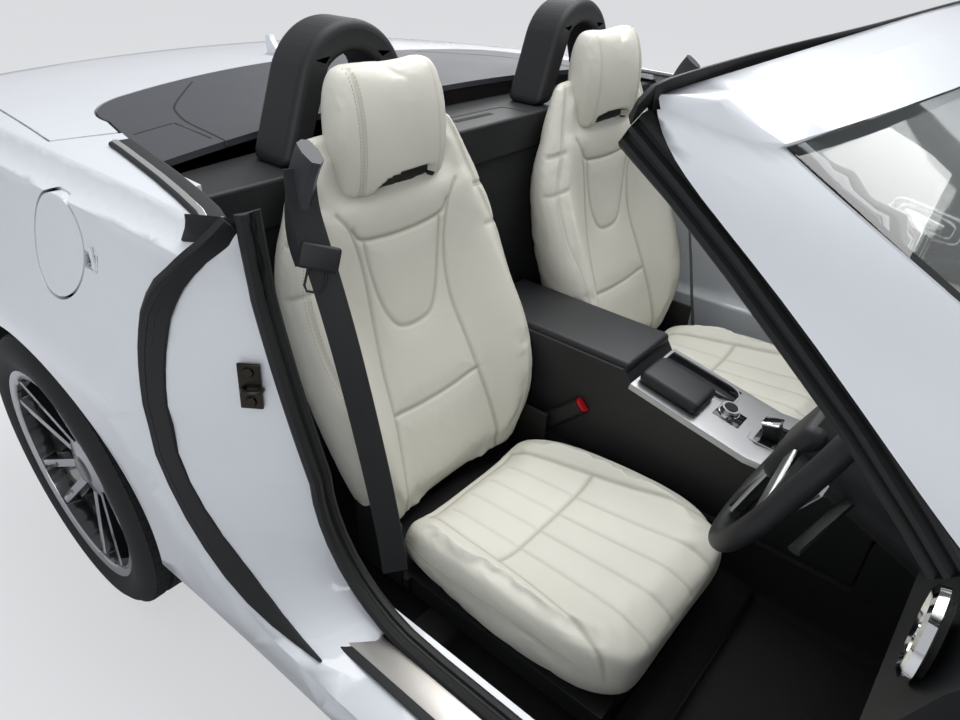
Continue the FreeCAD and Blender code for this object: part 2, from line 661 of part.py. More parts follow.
quarter_space = side_prism([
    (-400, 100), (-400, 1200), (-2200, 1200), (-2200, BUMPER_TOP), (REAR_SPLIT_X, BUMPER_TOP),
    (REAR_SPLIT_X, 100),
], -far, -300)
sill_space = side_prism([
    (-900, 100), (882, 100), (882, SILL_TOP), (578, SILL_TOP), (-900, SILL_TOP),
], -far, -300)
POST_REAR = -905
lock_post = body_outside.common(block(POST_REAR, -400, -far, -size["post_inner"], 100, 1200))
sill = body_outside.common(block(SILL_REAR, 571, -far, -sill_y, 100, SILL_PLATE_TOP))
sill_under_wing = under_skin.common(block(570, SILL_FRONT, -far, -sill_y, 100, SILL_PLATE_TOP))
cabin_room = block(SHELF_FRONT, 800, -size["post_inner"], far, SILL_PLATE_TOP, 1200)
hoop_room = block(COVER_FRONT_MIDDLE - seam, SHELF_FRONT + 1, -COVER_FRONT_Y - seam, far, SHELF_BOTTOM, 1200)
under_room = block(-far, far, -sill_y, far, 0, SILL_PLATE_TOP + 1)
JACK_PLACES = (-690, 690)
JACK_Y = 740
jack_low = 170 - size["jack_pad_height"]
jack_pads = [
    block(place - pad / 2, place + pad / 2, -JACK_Y - pad / 2, -JACK_Y + pad / 2, jack_low, 180)
    for place in JACK_PLACES
]
inner_rear_room = arch(rear_axle_x, rear_z, rear_house + sheet_metal + 1, -875, -500)
flap_middle = Vector(size["flap_x"], -far, size["flap_z"])
flap_hole = Part.makeCylinder(size["flap_radius"] + gap, 1800, flap_middle, Vector(0, 1, 0))
FLAP_AXIS = Vector(-930, -826, 866)
flap_ears = [
    block(FLAP_AXIS.x - 10, FLAP_AXIS.x + 10, -862, FLAP_AXIS.y + 8, FLAP_AXIS.z + up - 6, FLAP_AXIS.z + up + 6)
    for up in (-20, 20)
]
flap_pin = rod(FLAP_AXIS + Vector(0, 0, -24), FLAP_AXIS + Vector(0, 0, 24), 3.5)
side_right = skin_shell.common(quarter_space.fuse(sill_space))
side_right = side_right.cut([cabin_room, hoop_room, under_room])
side_right = side_right.fuse([lock_post.cut(inner_rear_room), sill.cut(inner_rear_room), sill_under_wing]
                             + jack_pads)
lid_hole = plan_prism(lid_plan(gap), BUMPER_TOP, 1200)
side_right = largest(side_right.cut([
    door_volume(0), rear_arch, front_arch, lid_hole, plan_prism(cover_plan(seam), 600, 1200),
    tail_lamp_space(seam),
]))
side_left = mirrored(side_right)
flap_relief = Part.makeCylinder(14.5, 26, FLAP_AXIS - Vector(0, 0, 13))
# a slot from the pin to the flap's hole, which the bent arm swings through
flap_slot = block(FLAP_AXIS.x - 30, FLAP_AXIS.x, FLAP_AXIS.y - 17, -700, FLAP_AXIS.z - 13, FLAP_AXIS.z + 13)
side_right = side_right.cut([flap_hole, flap_relief, flap_slot])
side_right = fused(side_right, *[ear.common(body_outside) for ear in flap_ears])
side_right = largest(fused(side_right, flap_pin))
keep("body_sides", Part.makeCompound([side_right, side_left]))
keep("front_wings", both_sides(wing_right))

scuttle_space = plan_prism([
    (405, -sill_y + seam), (BONNET_REAR_SIDE - 2 * gap, -sill_y + seam),
    (BONNET_REAR_SIDE - 2 * gap, sill_y - seam, BONNET_REAR_MIDDLE - gap, 0), (405, sill_y - seam),
], 600, 1200)
arm_notch = block(HINGE_BONNET.x - 22, 700, -HINGE_BONNET.y - 22, -HINGE_BONNET.y + 22, 800, 1200)
scuttle = skin_shell.common(scuttle_space).cut([arm_notch, mirrored(arm_notch)])
keep("scuttle_panel", largest(scuttle))


# Moving panels

def bar(start, end, half, across_low, across_high, across):
    """A flat bar between two points of a plane, drawn across it."""
    along = (end - start).normalize()
    side = along.cross(across) * half
    corners = [start + side, end + side, end - side, start - side, start + side]
    face = Part.Face(Part.makePolygon(corners))
    face.translate(across * across_low)
    return face.extrude(across * (across_high - across_low))


def gooseneck(axis, elbow, tip, lug_half, eye_radius, bore_radius, across, half=11):
    """A bent hinge arm: an eye round its pin, a leg to the elbow and a leg to the panel."""
    low, high = -lug_half, lug_half
    eye = Part.makeCylinder(eye_radius, 2 * lug_half, axis + across * low, across)
    knee = Part.makeCylinder(half, 2 * lug_half, axis + elbow + across * low, across)
    arm = fused(eye, knee, bar(axis, axis + elbow, half * 0.9, low, high, across),
                bar(axis + elbow, axis + tip, half, low, high, across))
    return arm.cut(Part.makeCylinder(bore_radius, 2 * far, axis - across * far, across))


across_car = Vector(0, 1, 0)
bonnet_axis = Vector(HINGE_BONNET.x, -HINGE_BONNET.y, HINGE_BONNET.z)
bonnet_arm = gooseneck(bonnet_axis, Vector(30, 0, -14), Vector(110, 0, 0), LUG_HALF - 1, 13, 5.3, across_car)
bonnet_arm = bonnet_arm.common(body_form(2))
bonnet = fused(bonnet_panel, bonnet_arm, mirrored(bonnet_arm))
keep("bonnet", largest(bonnet))

lid_axis = Vector(HINGE_LID.x, -HINGE_LID.y, HINGE_LID.z)
lid_arm = gooseneck(lid_axis, Vector(-30, 0, -104), Vector(-265, 0, 10), LUG_HALF - 1, 14, 5.3, across_car)
lid_arm = lid_arm.common(body_form(2))
FIN = [(-1512, 960), (-1512, 1002), (-1560, 1012), (-1604, 1054, -1586, 1028), (-1622, 1050),
       (-1620, 1008), (-1640, 1000), (-1640, 960)]
fin = side_prism(FIN, -7, 7).cut(body_in_skin)
boot_lid = fused(lid_panel, lid_arm, mirrored(lid_arm), fin)
keep("boot_lid", largest(boot_lid))

flap_skin = skin_shell.common(Part.makeCylinder(size["flap_radius"], 1800, flap_middle, Vector(0, 1, 0)))
flap_skin = largest(flap_skin)
flap_arm = gooseneck(FLAP_AXIS, Vector(-10, 72, 0), Vector(-70, -26, 0), 12, 9, 3.8, Vector(0, 0, 1), 5)
flap_arm = flap_arm.common(body_form(2))
keep("fuel_flap", largest(fused(flap_skin, flap_arm)))

# Doors: the whole wall between the skin and the lining, hung on two pins
DOOR_PLAN = [
    (hinge_x + 200, -960), (hinge_x + 200, -hinge_y - 20), (hinge_x - 25, -hinge_y - 20),
    (hinge_x - 60, -size["door_inner_face"]), (-900, -size["door_inner_face"]), (-900, -960),
]
door_solid = body_outside.common(door_volume(-door_gap)).common(plan_prism(DOOR_PLAN, 0, 1200))
door_solid = largest(door_solid)


def door_leaf(height):
    """Door half of a hinge: an upper barrel and the leaf behind it."""
    barrel_height = size["hinge_barrel_height"]
    low = height + running
    leaf = block(hinge_x - 45, hinge_x, -hinge_y - 6, -hinge_y + 6, low, height + barrel_height)
    barrel = Part.makeCylinder(size["hinge_barrel_radius"], barrel_height - running,
                               Vector(hinge_x, -hinge_y, low))
    bore = Part.makeCylinder(size["hinge_pin_radius"] + running, barrel_height, Vector(hinge_x, -hinge_y, low))
    return fused(leaf, barrel).cut(bore)


door_shell = largest(fused(door_solid, door_leaf(size["hinge_low"]), door_leaf(size["hinge_high"])))
trim_outer = -size["door_inner_face"] + seam
trim_space = block(-900, hinge_x - 70, trim_outer, trim_outer + size["door_trim_thickness"], 350, 1200)
door_trim = largest(body_outside.common(trim_space).common(side_prism(door_side(True, -door_gap), -far, 0)))
armrest = block(-330, 190, trim_outer, trim_outer + size["door_trim_thickness"] + 48, 640, 700)
armrest = armrest.makeFillet(14, armrest.Edges)
door_lining = largest(fused(door_trim, armrest))
mirror_head = block(352, 452, -1003, -868, 918, 1030)
mirror_head = mirror_head.makeFillet(32, mirror_head.Edges)
mirror_foot = block(372, 418, -900, -782, 850, 950)
mirror_arm = largest(fused(mirror_head, mirror_foot.cut(body_form(-seam))))

open_angle = size["door_opening"]


def swung(shape):
    """A piece of the right-hand door, turned to where the door stands open."""
    turned = shape.copy()
    turned.rotate(Vector(hinge_x, -hinge_y, 0), Vector(0, 0, 1), float(open_angle))
    return turned


for label, shape in [("door", door_shell), ("door_trim", door_lining), ("mirror", mirror_arm)]:
    keep(label + "_right", swung(shape))
    keep(label + "_left", mirrored(shape))


# Windscreen: arcs over the car on the outer face of the glass
# middle x | middle z | side x | side z | half width
GLASS = [
    (690, 925, 520, 905, 735),
    (560, 984, 420, 962, 712),
    (290, 1106, 160, 1090, 655),
    (62, 1206, -36, 1174, 588),
]
GLASS_ALONG = 11
# header sections from the middle to the side: distance from the centre plane, then x and z of its corners
HEADER = [
    (0, [(66, 1212), (6, 1244), (-42, 1254), (-36, 1220), (24, 1190)]),
    (300, [(44, 1205), (-16, 1235), (-62, 1243), (-54, 1210), (4, 1183)]),
    (604, [(-34, 1180), (-96, 1203), (-152, 1200), (-140, 1168), (-70, 1150)]),
]
# pillar sections from the base up: z | front x, y | rear x, y
PILLAR = [
    (890, 552, 731, 300, 731), (960, 432, 718, 190, 714), (1013, 325, 697, 110, 692),
    (1090, 165, 662, -16, 650), (1134, 62, 634, -88, 632), (1188, -62, 592, -150, 606),
]
PILLAR_DEPTH = 30


def glass_band(row, thickness):
    """A flat closed section: an arc over the car, and the same arc a thickness behind it."""
    middle_x, middle_z, side_x, side_z, half = row
    corners = [Vector(side_x, -half, side_z), Vector(middle_x, 0, middle_z), Vector(side_x, half, side_z)]
    back = Vector(side_x - middle_x, 0, side_z - middle_z).normalize() * thickness
    behind = [corner + back for corner in corners]
    return Part.Wire([
        Part.Arc(*corners).toShape(), Part.LineSegment(corners[2], behind[2]).toShape(),
        Part.Arc(*behind[::-1]).toShape(), Part.LineSegment(behind[0], corners[0]).toShape(),
    ])


def screen_bars(grow):
    """The header and both pillars, or the room they take up."""
    sections = []
    for y, corners in [(-y, corners) for y, corners in HEADER[:0:-1]] + HEADER:
        middle_x = sum(x for x, z in corners) / len(corners)
        middle_z = sum(z for x, z in corners) / len(corners)
        points = [
            Vector(x + math.copysign(grow, x - middle_x), y, z + math.copysign(grow, z - middle_z))
            for x, z in corners
        ]
        sections.append(Part.makePolygon(points + points[:1]))
    header = Part.makeLoft(sections, True, False)
    sections = []
    for z, front_x, front_y, rear_x, rear_y in PILLAR:
        points = [
            Vector(front_x + grow, -front_y - grow, z), Vector(rear_x - grow, -rear_y - grow, z),
            Vector(rear_x + 12 - grow, -rear_y + PILLAR_DEPTH + grow, z),
            Vector(front_x - 14 + grow, -front_y + PILLAR_DEPTH + grow, z),
        ]
        sections.append(Part.makePolygon(points + points[:1]))
    pillar = Part.makeLoft(sections, True, False)
    return [header, pillar, mirrored(pillar)]


above_body = body_form(-seam)
header, pillar, pillar_left = screen_bars(0)
screen_frame = largest(fused(header, pillar, pillar_left).cut(above_body))
keep("windscreen_frame", screen_frame)
glass = Part.makeLoft([glass_band(row, GLASS_ALONG) for row in GLASS], True, True)
keep("windscreen", largest(glass.cut([above_body] + screen_bars(seam))))


# Cabin

DASH = [(225, 560), (187, 690), (225, 812), (315, 868, 257, 852), (455, 872), (FIREWALL_X - 12, 838),
        (FIREWALL_X - 12, 470), (325, 470)]
dash = side_prism(DASH, -sill_y + 6, sill_y - 6).cut(block(430, far, -far, far, 849, far))
CONSOLE_BASE = size["tunnel_height"] + seam
STACK_FRONT = 131
stack = side_prism([(STACK_FRONT, 420), (157, 600), (225, 780), (345, 780), (345, CONSOLE_BASE),
                    (STACK_FRONT, CONSOLE_BASE)], -107, 107)
seat_y = size["seat_place"]
hood = front_prism([(-seat_y - 175, 800), (-seat_y + 175, 800), (-seat_y + 165, 850),
                    (-seat_y - 165, 850, -seat_y, 930)], 215, 345)
keep("dashboard", largest(fused(dash, stack, hood)))

CONSOLE = [(-790, CONSOLE_BASE), (-790, 552), (-770, 568), (-385, 568), (-366, 540), (-113, 489), (60, 498),
           (STACK_FRONT - seam, 560), (STACK_FRONT - seam, CONSOLE_BASE)]
console = side_prism(CONSOLE, -96, 96)
keep("centre_console", console)

column_tilt = math.radians(24)
column_axis = Vector(math.cos(column_tilt), 0, -math.sin(column_tilt))
wheel_middle = Vector(30, -seat_y, 760)
STUB = 14
column_start = wheel_middle + column_axis * 30
column = fused(
    rod(column_start, wheel_middle + column_axis * 260, 44),
    rod(wheel_middle - column_axis * 10, column_start + column_axis * 5, STUB),
).cut(dash.fuse(hood))
column = largest(column)
keep("steering_column", column)

PEDAL_X = 490
PEDALS = [(-250, 46, 70), (-392, 92, 58)]
pedal_solids = []
for pedal_y, pedal_width, pedal_height in PEDALS:
    plate = block(PEDAL_X, PEDAL_X + 12, pedal_y - pedal_width / 2, pedal_y + pedal_width / 2, 290, 290 + pedal_height)
    stalk = block(PEDAL_X + 12, PEDAL_X + 24, pedal_y - 8, pedal_y + 8, 300, 469.7)
    pedal_solids.append(fused(plate, stalk))
keep("pedals", Part.makeCompound(pedal_solids))

grip = Part.makeTorus(size["steering_radius"], size["grip_radius"], Vector(0, 0, 0), Vector(1, 0, 0))
boss = Part.makeCylinder(62, 30, Vector(-22, 0, 0), Vector(1, 0, 0))
spokes = [
    block(-12, 4, -size["steering_radius"], size["steering_radius"], -20, 16),
    block(-12, 4, -17, 17, -size["steering_radius"], 0),
]
steering = fused(grip, boss, *spokes).cut(Part.makeCylinder(STUB + running, 100, Vector(-12, 0, 0), Vector(1, 0, 0)))
steering.rotate(Vector(0, 0, 0), Vector(0, 1, 0), math.degrees(column_tilt))
steering.translate(wheel_middle)
keep("steering_wheel", steering)

half_seat = size["seat_width"] / 2
half_back = size["back_width"] / 2
SEAT_BASE_TOP = 262
cushion = side_prism([
    (-530, SEAT_BASE_TOP + seam), (-95, SEAT_BASE_TOP + seam), (-52, 330, -66, 288), (-100, 404, -58, 386),
    (-300, 398), (-500, 392), (-530, 350),
], -seat_y - half_seat, -seat_y + half_seat)
keep("seat_cushions", both_sides(cushion))
base = block(-520, -95, -seat_y - 214, -seat_y + 214, CROSS_TOP + seam, SEAT_BASE_TOP)
BACK_LOW_HALF = 222
ear_y = BACK_LOW_HALF + seam + 4
ears = [
    block(-650, -531, -seat_y + sign * ear_y - 4, -seat_y + sign * ear_y + 4, 240, 400) for sign in (-1, 1)
]
ear_link = block(-650, -519, -seat_y - ear_y, -seat_y + ear_y, 240, SEAT_BASE_TOP)
keep("seat_bases", both_sides(fused(base, ear_link, *ears)))
back_side = side_prism([
    (-570, 290), (-550, 400), (-548, 500), (-628, 640), (-712, 760), (-728, 860), (-748, 1046), (-796, 1050),
    (-812, 960), (-800, 760), (-742, 540), (-700, 290),
], -seat_y - 300, -seat_y + 300)
back_front = front_prism([
    (-seat_y - BACK_LOW_HALF, 280), (-seat_y + BACK_LOW_HALF, 280), (-seat_y + BACK_LOW_HALF, 400),
    (-seat_y + half_back, 780, -seat_y + 254, 590), (-seat_y + 160, 1050, -seat_y + 246, 930),
    (-seat_y - 160, 1050), (-seat_y - half_back, 780, -seat_y - 246, 930),
    (-seat_y - BACK_LOW_HALF, 400, -seat_y - 254, 590),
], -900, -300)
keep("seat_backrests", both_sides(back_side.common(back_front)))
head_side = side_prism([
    (-747, 916), (-722, 920), (-716, 1000), (-734, 1110, -720, 1064), (-768, 1134), (-806, 1118), (-814, 1056),
    (-748, 1052),
], -seat_y - 160, -seat_y + 160)
head_half = size["headrest_width"] / 2
head_front = front_prism([
    (-seat_y - head_half + 12, 900), (-seat_y + head_half - 12, 900), (-seat_y + head_half, 1030),
    (-seat_y + head_half - 30, 1134, -seat_y + head_half - 6, 1096),
    (-seat_y - head_half + 30, 1134), (-seat_y - head_half, 1030, -seat_y - head_half + 6, 1096),
], -900, -500)
head = head_side.common(head_front)
back_room = back_side.common(back_front)
back_room.translate(Vector(0.2, 0, 0.2))
head = head.cut([back_room, back_side.common(back_front)])
keep("headrests", both_sides(largest(head)))

rear_shelf = block(COVER_FRONT_MIDDLE, SHELF_FRONT, -size["post_inner"] + seam, size["post_inner"] - seam,
                   SHELF_BOTTOM, SHELF_TOP)
rear_shelf = rear_shelf.cut(plan_prism(cover_plan(seam), 800, 1200)).common(body_in_skin)
keep("rear_shelf", largest(rear_shelf))
hoop_half = size["hoop_width"] / 2
band = size["hoop_band"]
hoop_top = size["hoop_top"]
HOOP_Y = seat_y
HOOP_FOOT = SHELF_TOP + seam
HOOP_SPRING = 1110
HOOP_FRONT = -846
HOOP_LEAN = 58
hoop_outer = front_prism([
    (-HOOP_Y - hoop_half, HOOP_FOOT), (-HOOP_Y + hoop_half, HOOP_FOOT),
    (-HOOP_Y + hoop_half - HOOP_LEAN, HOOP_SPRING),
    (-HOOP_Y - hoop_half + HOOP_LEAN, HOOP_SPRING, -HOOP_Y, hoop_top),
], HOOP_FRONT - size["hoop_depth"], HOOP_FRONT)
hoop_inner = front_prism([
    (-HOOP_Y - hoop_half + band, HOOP_FOOT), (-HOOP_Y + hoop_half - band, HOOP_FOOT),
    (-HOOP_Y + hoop_half - band - HOOP_LEAN, HOOP_SPRING - 8),
    (-HOOP_Y - hoop_half + band + HOOP_LEAN, HOOP_SPRING - 8, -HOOP_Y, hoop_top - band),
], -far, far)
keep("roll_hoops", both_sides(hoop_outer.cut(hoop_inner)))


# Running gear

engine = doc.addObject("Part::Box", "engine_block")
engine.Label = "engine_block"
for side, length in [("Length", "engine_length"), ("Width", "engine_width"), ("Height", "engine_height")]:
    engine.setExpression(side, size[length].formula)
ENGINE_REAR = 780
SUBFRAME_TOP = 235
engine.Placement = FreeCAD.Placement(
    Vector(ENGINE_REAR, -float(size["engine_width"]) / 2, SUBFRAME_TOP + seam), FreeCAD.Rotation())
parts["engine_block"] = engine

kingpin_y = size["front_track"] / 2 - size["kingpin_inset"]
hub_face_y = size["front_track"] / 2 + size["hub_face_offset"]
rear_hub_y = size["rear_track"] / 2 + size["hub_face_offset"]
KNUCKLE_LOW = 186
KNUCKLE_HIGH = 452
ARM_HALF = 45
ARM_TIP_HALF = 22
ball = size["ball_pin_radius"]


def wishbone(side, inner_y, low, high):
    """A suspension arm that narrows from its inner end to its ball pin, so that the steered rim clears it."""
    return plan_prism([
        (front_axle_x - ARM_HALF, side * inner_y), (front_axle_x - ARM_TIP_HALF, side * kingpin_y),
        (front_axle_x + ARM_TIP_HALF, side * kingpin_y), (front_axle_x + ARM_HALF, side * inner_y),
    ], low, high)


front_parts = [block(front_axle_x - 70, front_axle_x + 70, -LEG_INNER_Y + 10, LEG_INNER_Y - 10, 172, SUBFRAME_TOP)]
for side in (-1, 1):
    mount = block(front_axle_x - 140, front_axle_x - 60, min(side * 380, side * 470), max(side * 380, side * 470),
                  200, LEG_LOW - seam)
    front_parts.append(mount)
    lower = wishbone(side, 400, 172, KNUCKLE_LOW - seam)
    lower_pin = Part.makeCylinder(ball, KNUCKLE_LOW - 172 + 16, Vector(front_axle_x, side * kingpin_y, 172))
    upper = wishbone(side, 380, KNUCKLE_HIGH + seam, KNUCKLE_HIGH + 14)
    upper_pin = Part.makeCylinder(ball, 30, Vector(front_axle_x, side * kingpin_y, KNUCKLE_HIGH - 16))
    tower = block(front_axle_x - ARM_HALF, front_axle_x + ARM_HALF, min(side * 380, side * 410),
                  max(side * 380, side * 410), 172, KNUCKLE_HIGH + 14)
    front_parts += [lower, lower_pin, upper, upper_pin, tower]
keep("front_axle", fused(*front_parts))


def caliper(axle_x, axle_z, middle_y, disc_radius, side, behind):
    """A brake caliper astride its disc, for a disc whose middle plane is at middle_y."""
    room = size["disc_thickness"] / 2 + 1.5
    low_x, high_x = sorted([axle_x + behind * (disc_radius - 62), axle_x + behind * (disc_radius + 16)])
    body = block(low_x, high_x, middle_y - 27, middle_y + 34, axle_z - 68, axle_z + 68)
    slot = Part.makeCylinder(disc_radius + 2, 2 * room, Vector(axle_x, middle_y - room, axle_z), Vector(0, 1, 0))
    round_barrel = Part.makeCylinder(size["rim_seat_radius"] - size["rim_wall"] - 8, 300,
                                     Vector(axle_x, middle_y - 150, axle_z), Vector(0, 1, 0))
    return body.cut(slot).common(round_barrel)


def carrier(axle_x, axle_z, inner_y, face_y, disc_radius, disc_y, behind):
    """A right-hand hub carrier with its spindle and caliper."""
    housing = rod(Vector(axle_x, inner_y, axle_z), Vector(axle_x, inner_y - 28, axle_z), 62)
    spindle = rod(Vector(axle_x, inner_y, axle_z), Vector(axle_x, face_y - 18, axle_z), size["spindle_radius"])
    low_x, high_x = sorted([axle_x, axle_x + behind * disc_radius])
    arm = block(low_x, high_x, inner_y - 22, inner_y, axle_z - 40, axle_z + 40)
    return fused(housing, spindle, arm, caliper(axle_x, axle_z, disc_y, disc_radius, -1, behind))


DISC_OFFSET = 5
front_disc_y = -(size["front_track"] / 2 + DISC_OFFSET)
rear_disc_y = -(size["rear_track"] / 2 + DISC_OFFSET)
knuckle_inner = -kingpin_y + 22
upright = block(front_axle_x - 22, front_axle_x + 22, -kingpin_y - 11, knuckle_inner, KNUCKLE_LOW, KNUCKLE_HIGH)
knuckle = fused(upright, carrier(front_axle_x, front_z, knuckle_inner, -hub_face_y,
                                 size["front_disc_radius"], front_disc_y, -1))
for low_z in (KNUCKLE_LOW - 5, KNUCKLE_HIGH - 18):
    knuckle = knuckle.cut(Part.makeCylinder(ball + running, 25, Vector(front_axle_x, -kingpin_y, low_z)))
keep("knuckle_right", largest(knuckle))
keep("knuckle_left", mirrored(largest(knuckle)))

rear_inner = -size["rear_track"] / 2 + 45
rear_carrier = carrier(rear_axle_x, rear_z, rear_inner, -rear_hub_y, size["rear_disc_radius"], rear_disc_y, 1)
rear_arm = block(rear_axle_x - 40, rear_axle_x + 40, rear_inner - 20, -200, 258, 284)
half_shaft = rod(Vector(rear_axle_x, rear_inner, rear_z), Vector(rear_axle_x, -80, rear_z), 16)
rear_side = fused(rear_carrier, rear_arm, half_shaft)
final_drive = block(rear_axle_x - 95, rear_axle_x + 95, -120, 120, 250, boot_low - seam)
rear_beam = block(rear_axle_x - 150, rear_axle_x + 150, -420, 420, 258, 300)
rear_mounts = block(rear_axle_x - 150, rear_axle_x - 110, -420, -360, 290, boot_low - seam)
keep("rear_axle", fused(final_drive, rear_beam, rear_side, mirrored(rear_side), rear_mounts, mirrored(rear_mounts)))

silencer = block(-1890, -1590, -400, 400, 196, 322)
cross_edges = [edge for edge in silencer.Edges if abs(edge.Vertexes[0].Y - edge.Vertexes[1].Y) > 1]
silencer = silencer.makeFillet(40, cross_edges)
hangers = [block(-1760, -1730, sign * 250 - 12, sign * 250 + 12, 315, boot_low - seam) for sign in (-1, 1)]
tips = [rod(Vector(-1880, sign * TAIL_PIPE_Y, TAIL_PIPE_Z),
            Vector(-2050, sign * TAIL_PIPE_Y, TAIL_PIPE_Z), 40) for sign in (-1, 1)]
PIPE = [Vector(640, 0, 215), Vector(-860, 0, 215), Vector(-1010, -200, 205), Vector(-1600, -200, 215)]
pipe_runs = [rod(start, end, 28) for start, end in zip(PIPE, PIPE[1:])]
pipe_knees = [Part.makeSphere(28, point) for point in PIPE[1:-1]]
keep("exhaust", fused(silencer, *(hangers + tips + pipe_runs + pipe_knees)))


# Wheels

def sketch_on(body, role, outlines, name, offset=0):
    """A sketch of closed outlines whose corners are tied to the sheet."""
    sketch = body.newObject("Sketcher::SketchObject", name)
    plane = [feature for feature in body.Origin.OriginFeatures if feature.Role == role][0]
    sketch.AttachmentSupport = [(plane, "")]
    sketch.MapMode = "FlatFace"
    sketch.AttachmentOffset = FreeCAD.Placement(Vector(0, 0, 0), FreeCAD.Rotation())
    if formula_of(offset) != formula_of(0):
        sketch.setExpression("AttachmentOffset.Base.z", formula_of(offset))
    for corners in outlines:
        first = sketch.GeometryCount
        count = len(corners)
        for index, (across, up) in enumerate(corners):
            next_across, next_up = corners[(index + 1) % count]
            line = Part.LineSegment(Vector(across, up, 0), Vector(next_across, next_up, 0))
            sketch.addGeometry(line, False)
        for index, (across, up) in enumerate(corners):
            edge = first + index
            following = first + (index + 1) % count
            sketch.addConstraint(Sketcher.Constraint("Coincident", edge, 2, following, 1))
            for kind, length in (("DistanceX", across), ("DistanceY", up)):
                number = sketch.addConstraint(Sketcher.Constraint(kind, -1, 1, edge, 1, float(length)))
                if isinstance(length, Size):
                    sketch.setExpression("Constraints[%d]" % number, length.formula)
    return sketch


def revolved(body, outline, name):
    """A ring or drum round the body's Y axis; the outline gives radius and place along the axle."""
    feature = body.newObject("PartDesign::Revolution", name)
    feature.Profile = sketch_on(body, "XY_Plane", [outline], name + "_sketch")
    feature.ReferenceAxis = (feature.Profile[0], ["V_Axis"])
    feature.Angle = 360
    return feature


def rim_outline(width):
    """The barrel's section: flanges, bead seats and a dropped middle."""
    seat, wall, lip = size["rim_seat_radius"], size["rim_wall"], size["rim_flange"]
    half = width / 2
    return [
        (seat + lip, half), (seat + lip, half - 8), (seat, half - 12), (seat, half - 40),
        (seat - 12, half - 52), (seat - 12, -half + 70), (seat, -half + 40), (seat, -half + 12),
        (seat + lip, -half + 8), (seat + lip, -half), (seat - wall, -half + 6), (seat - wall, -half + 40),
        (seat - 12 - wall, -half + 70), (seat - 12 - wall, half - 52), (seat - wall, half - 40),
        (seat - wall, half - 6),
    ]


def wheel(label, axle, width, disc_radius, side):
    """A wheel with five twin spokes, its hub and brake disc, about its own Y axis; outboard is -Y."""
    body = doc.addObject("PartDesign::Body", label)
    body.Label = label
    face, hub = size["hub_face_offset"], size["hub_radius"]
    bore = size["spindle_radius"] + running
    depth = size["spoke_depth"]
    disc_in, disc_out = DISC_OFFSET - size["disc_thickness"] / 2, DISC_OFFSET + size["disc_thickness"] / 2
    revolved(body, [
        (bore, -face), (bore, -face - 26), (0, -face - 26), (0, -face - depth + 2), (26, -face - depth),
        (34, -face - depth + 6), (hub, -face - depth + 12), (hub, -disc_out), (disc_radius, -disc_out),
        (disc_radius, -disc_in), (hub - 10, -disc_in), (hub - 10, -face + 8), (bore, -face + 8),
    ], "hub_and_disc")
    root, tip = hub - 8, size["rim_seat_radius"] - size["rim_wall"] - 2
    leg_width = size["spoke_width"]
    legs = []
    for sign in (-1, 1):
        legs.append([
            (root, size["spoke_root_gap"] * sign), (tip, size["spoke_tip_gap"] * sign),
            (tip, (size["spoke_tip_gap"] + leg_width) * sign),
            (root, (size["spoke_root_gap"] + leg_width) * sign),
        ])
    spoke = body.newObject("PartDesign::Pad", "spoke_pair")
    spoke.Profile = sketch_on(body, "XZ_Plane", legs, "spoke_sketch", 24)
    spoke.setExpression("Length", (width / 2 - 24).formula)
    doc.recompute()
    pattern = body.newObject("PartDesign::PolarPattern", "spokes")
    pattern.Originals = [spoke]
    y_axis = [feature for feature in body.Origin.OriginFeatures if feature.Role == "Y_Axis"][0]
    pattern.Axis = (y_axis, [""])
    pattern.Angle = 360
    pattern.Occurrences = 5
    body.Tip = pattern
    doc.recompute()
    dish = body.newObject("PartDesign::Groove", "dish")
    out, edge = width / 2 - 8, size["rim_seat_radius"] - size["rim_wall"] + 6
    dish.Profile = sketch_on(body, "XY_Plane", [
        [(root - 6, -face - depth + 9), (hub, -face - depth + 12), (edge, -out), (edge, -out - 60),
         (root - 6, -out - 60)],
        [(hub + 1, -face + 12), (edge, -out + depth), (edge, -22), (hub + 1, -22)],
    ], "dish_sketch")
    dish.ReferenceAxis = (dish.Profile[0], ["V_Axis"])
    dish.Angle = 360
    doc.recompute()
    revolved(body, rim_outline(width), "barrel")
    doc.recompute()
    body.Placement = FreeCAD.Placement(axle, FreeCAD.Rotation(Vector(0, 0, 1), 0 if side < 0 else 180))
    parts[label] = body


def tyre(label, axle, radius, width, rim_width, side):
    """A low tyre as a hollow ring on its rim."""
    body = doc.addObject("PartDesign::Body", label)
    body.Label = label
    seat = size["rim_seat_radius"] + running
    bead, half = rim_width / 2 - 12.5, width / 2
    outer = [(seat, bead), (seat + 14, bead), (seat + 22, half - 4), (seat + 42, half), (radius - 14, half - 8),
             (radius - 3, half - 22), (radius, half - 48)]
    inner = [(radius - 12, half - 40), (seat + 40, half - 9), (seat + 16, bead - 12), (seat, bead - 14)]
    outline = outer + [(first, -second) for first, second in reversed(outer)]
    outline += [(first, -second) for first, second in reversed(inner)]
    outline += inner
    revolved(body, outline, "ring")
    body.Placement = FreeCAD.Placement(axle, FreeCAD.Rotation(Vector(0, 0, 1), 0 if side < 0 else 180))
    parts[label] = body


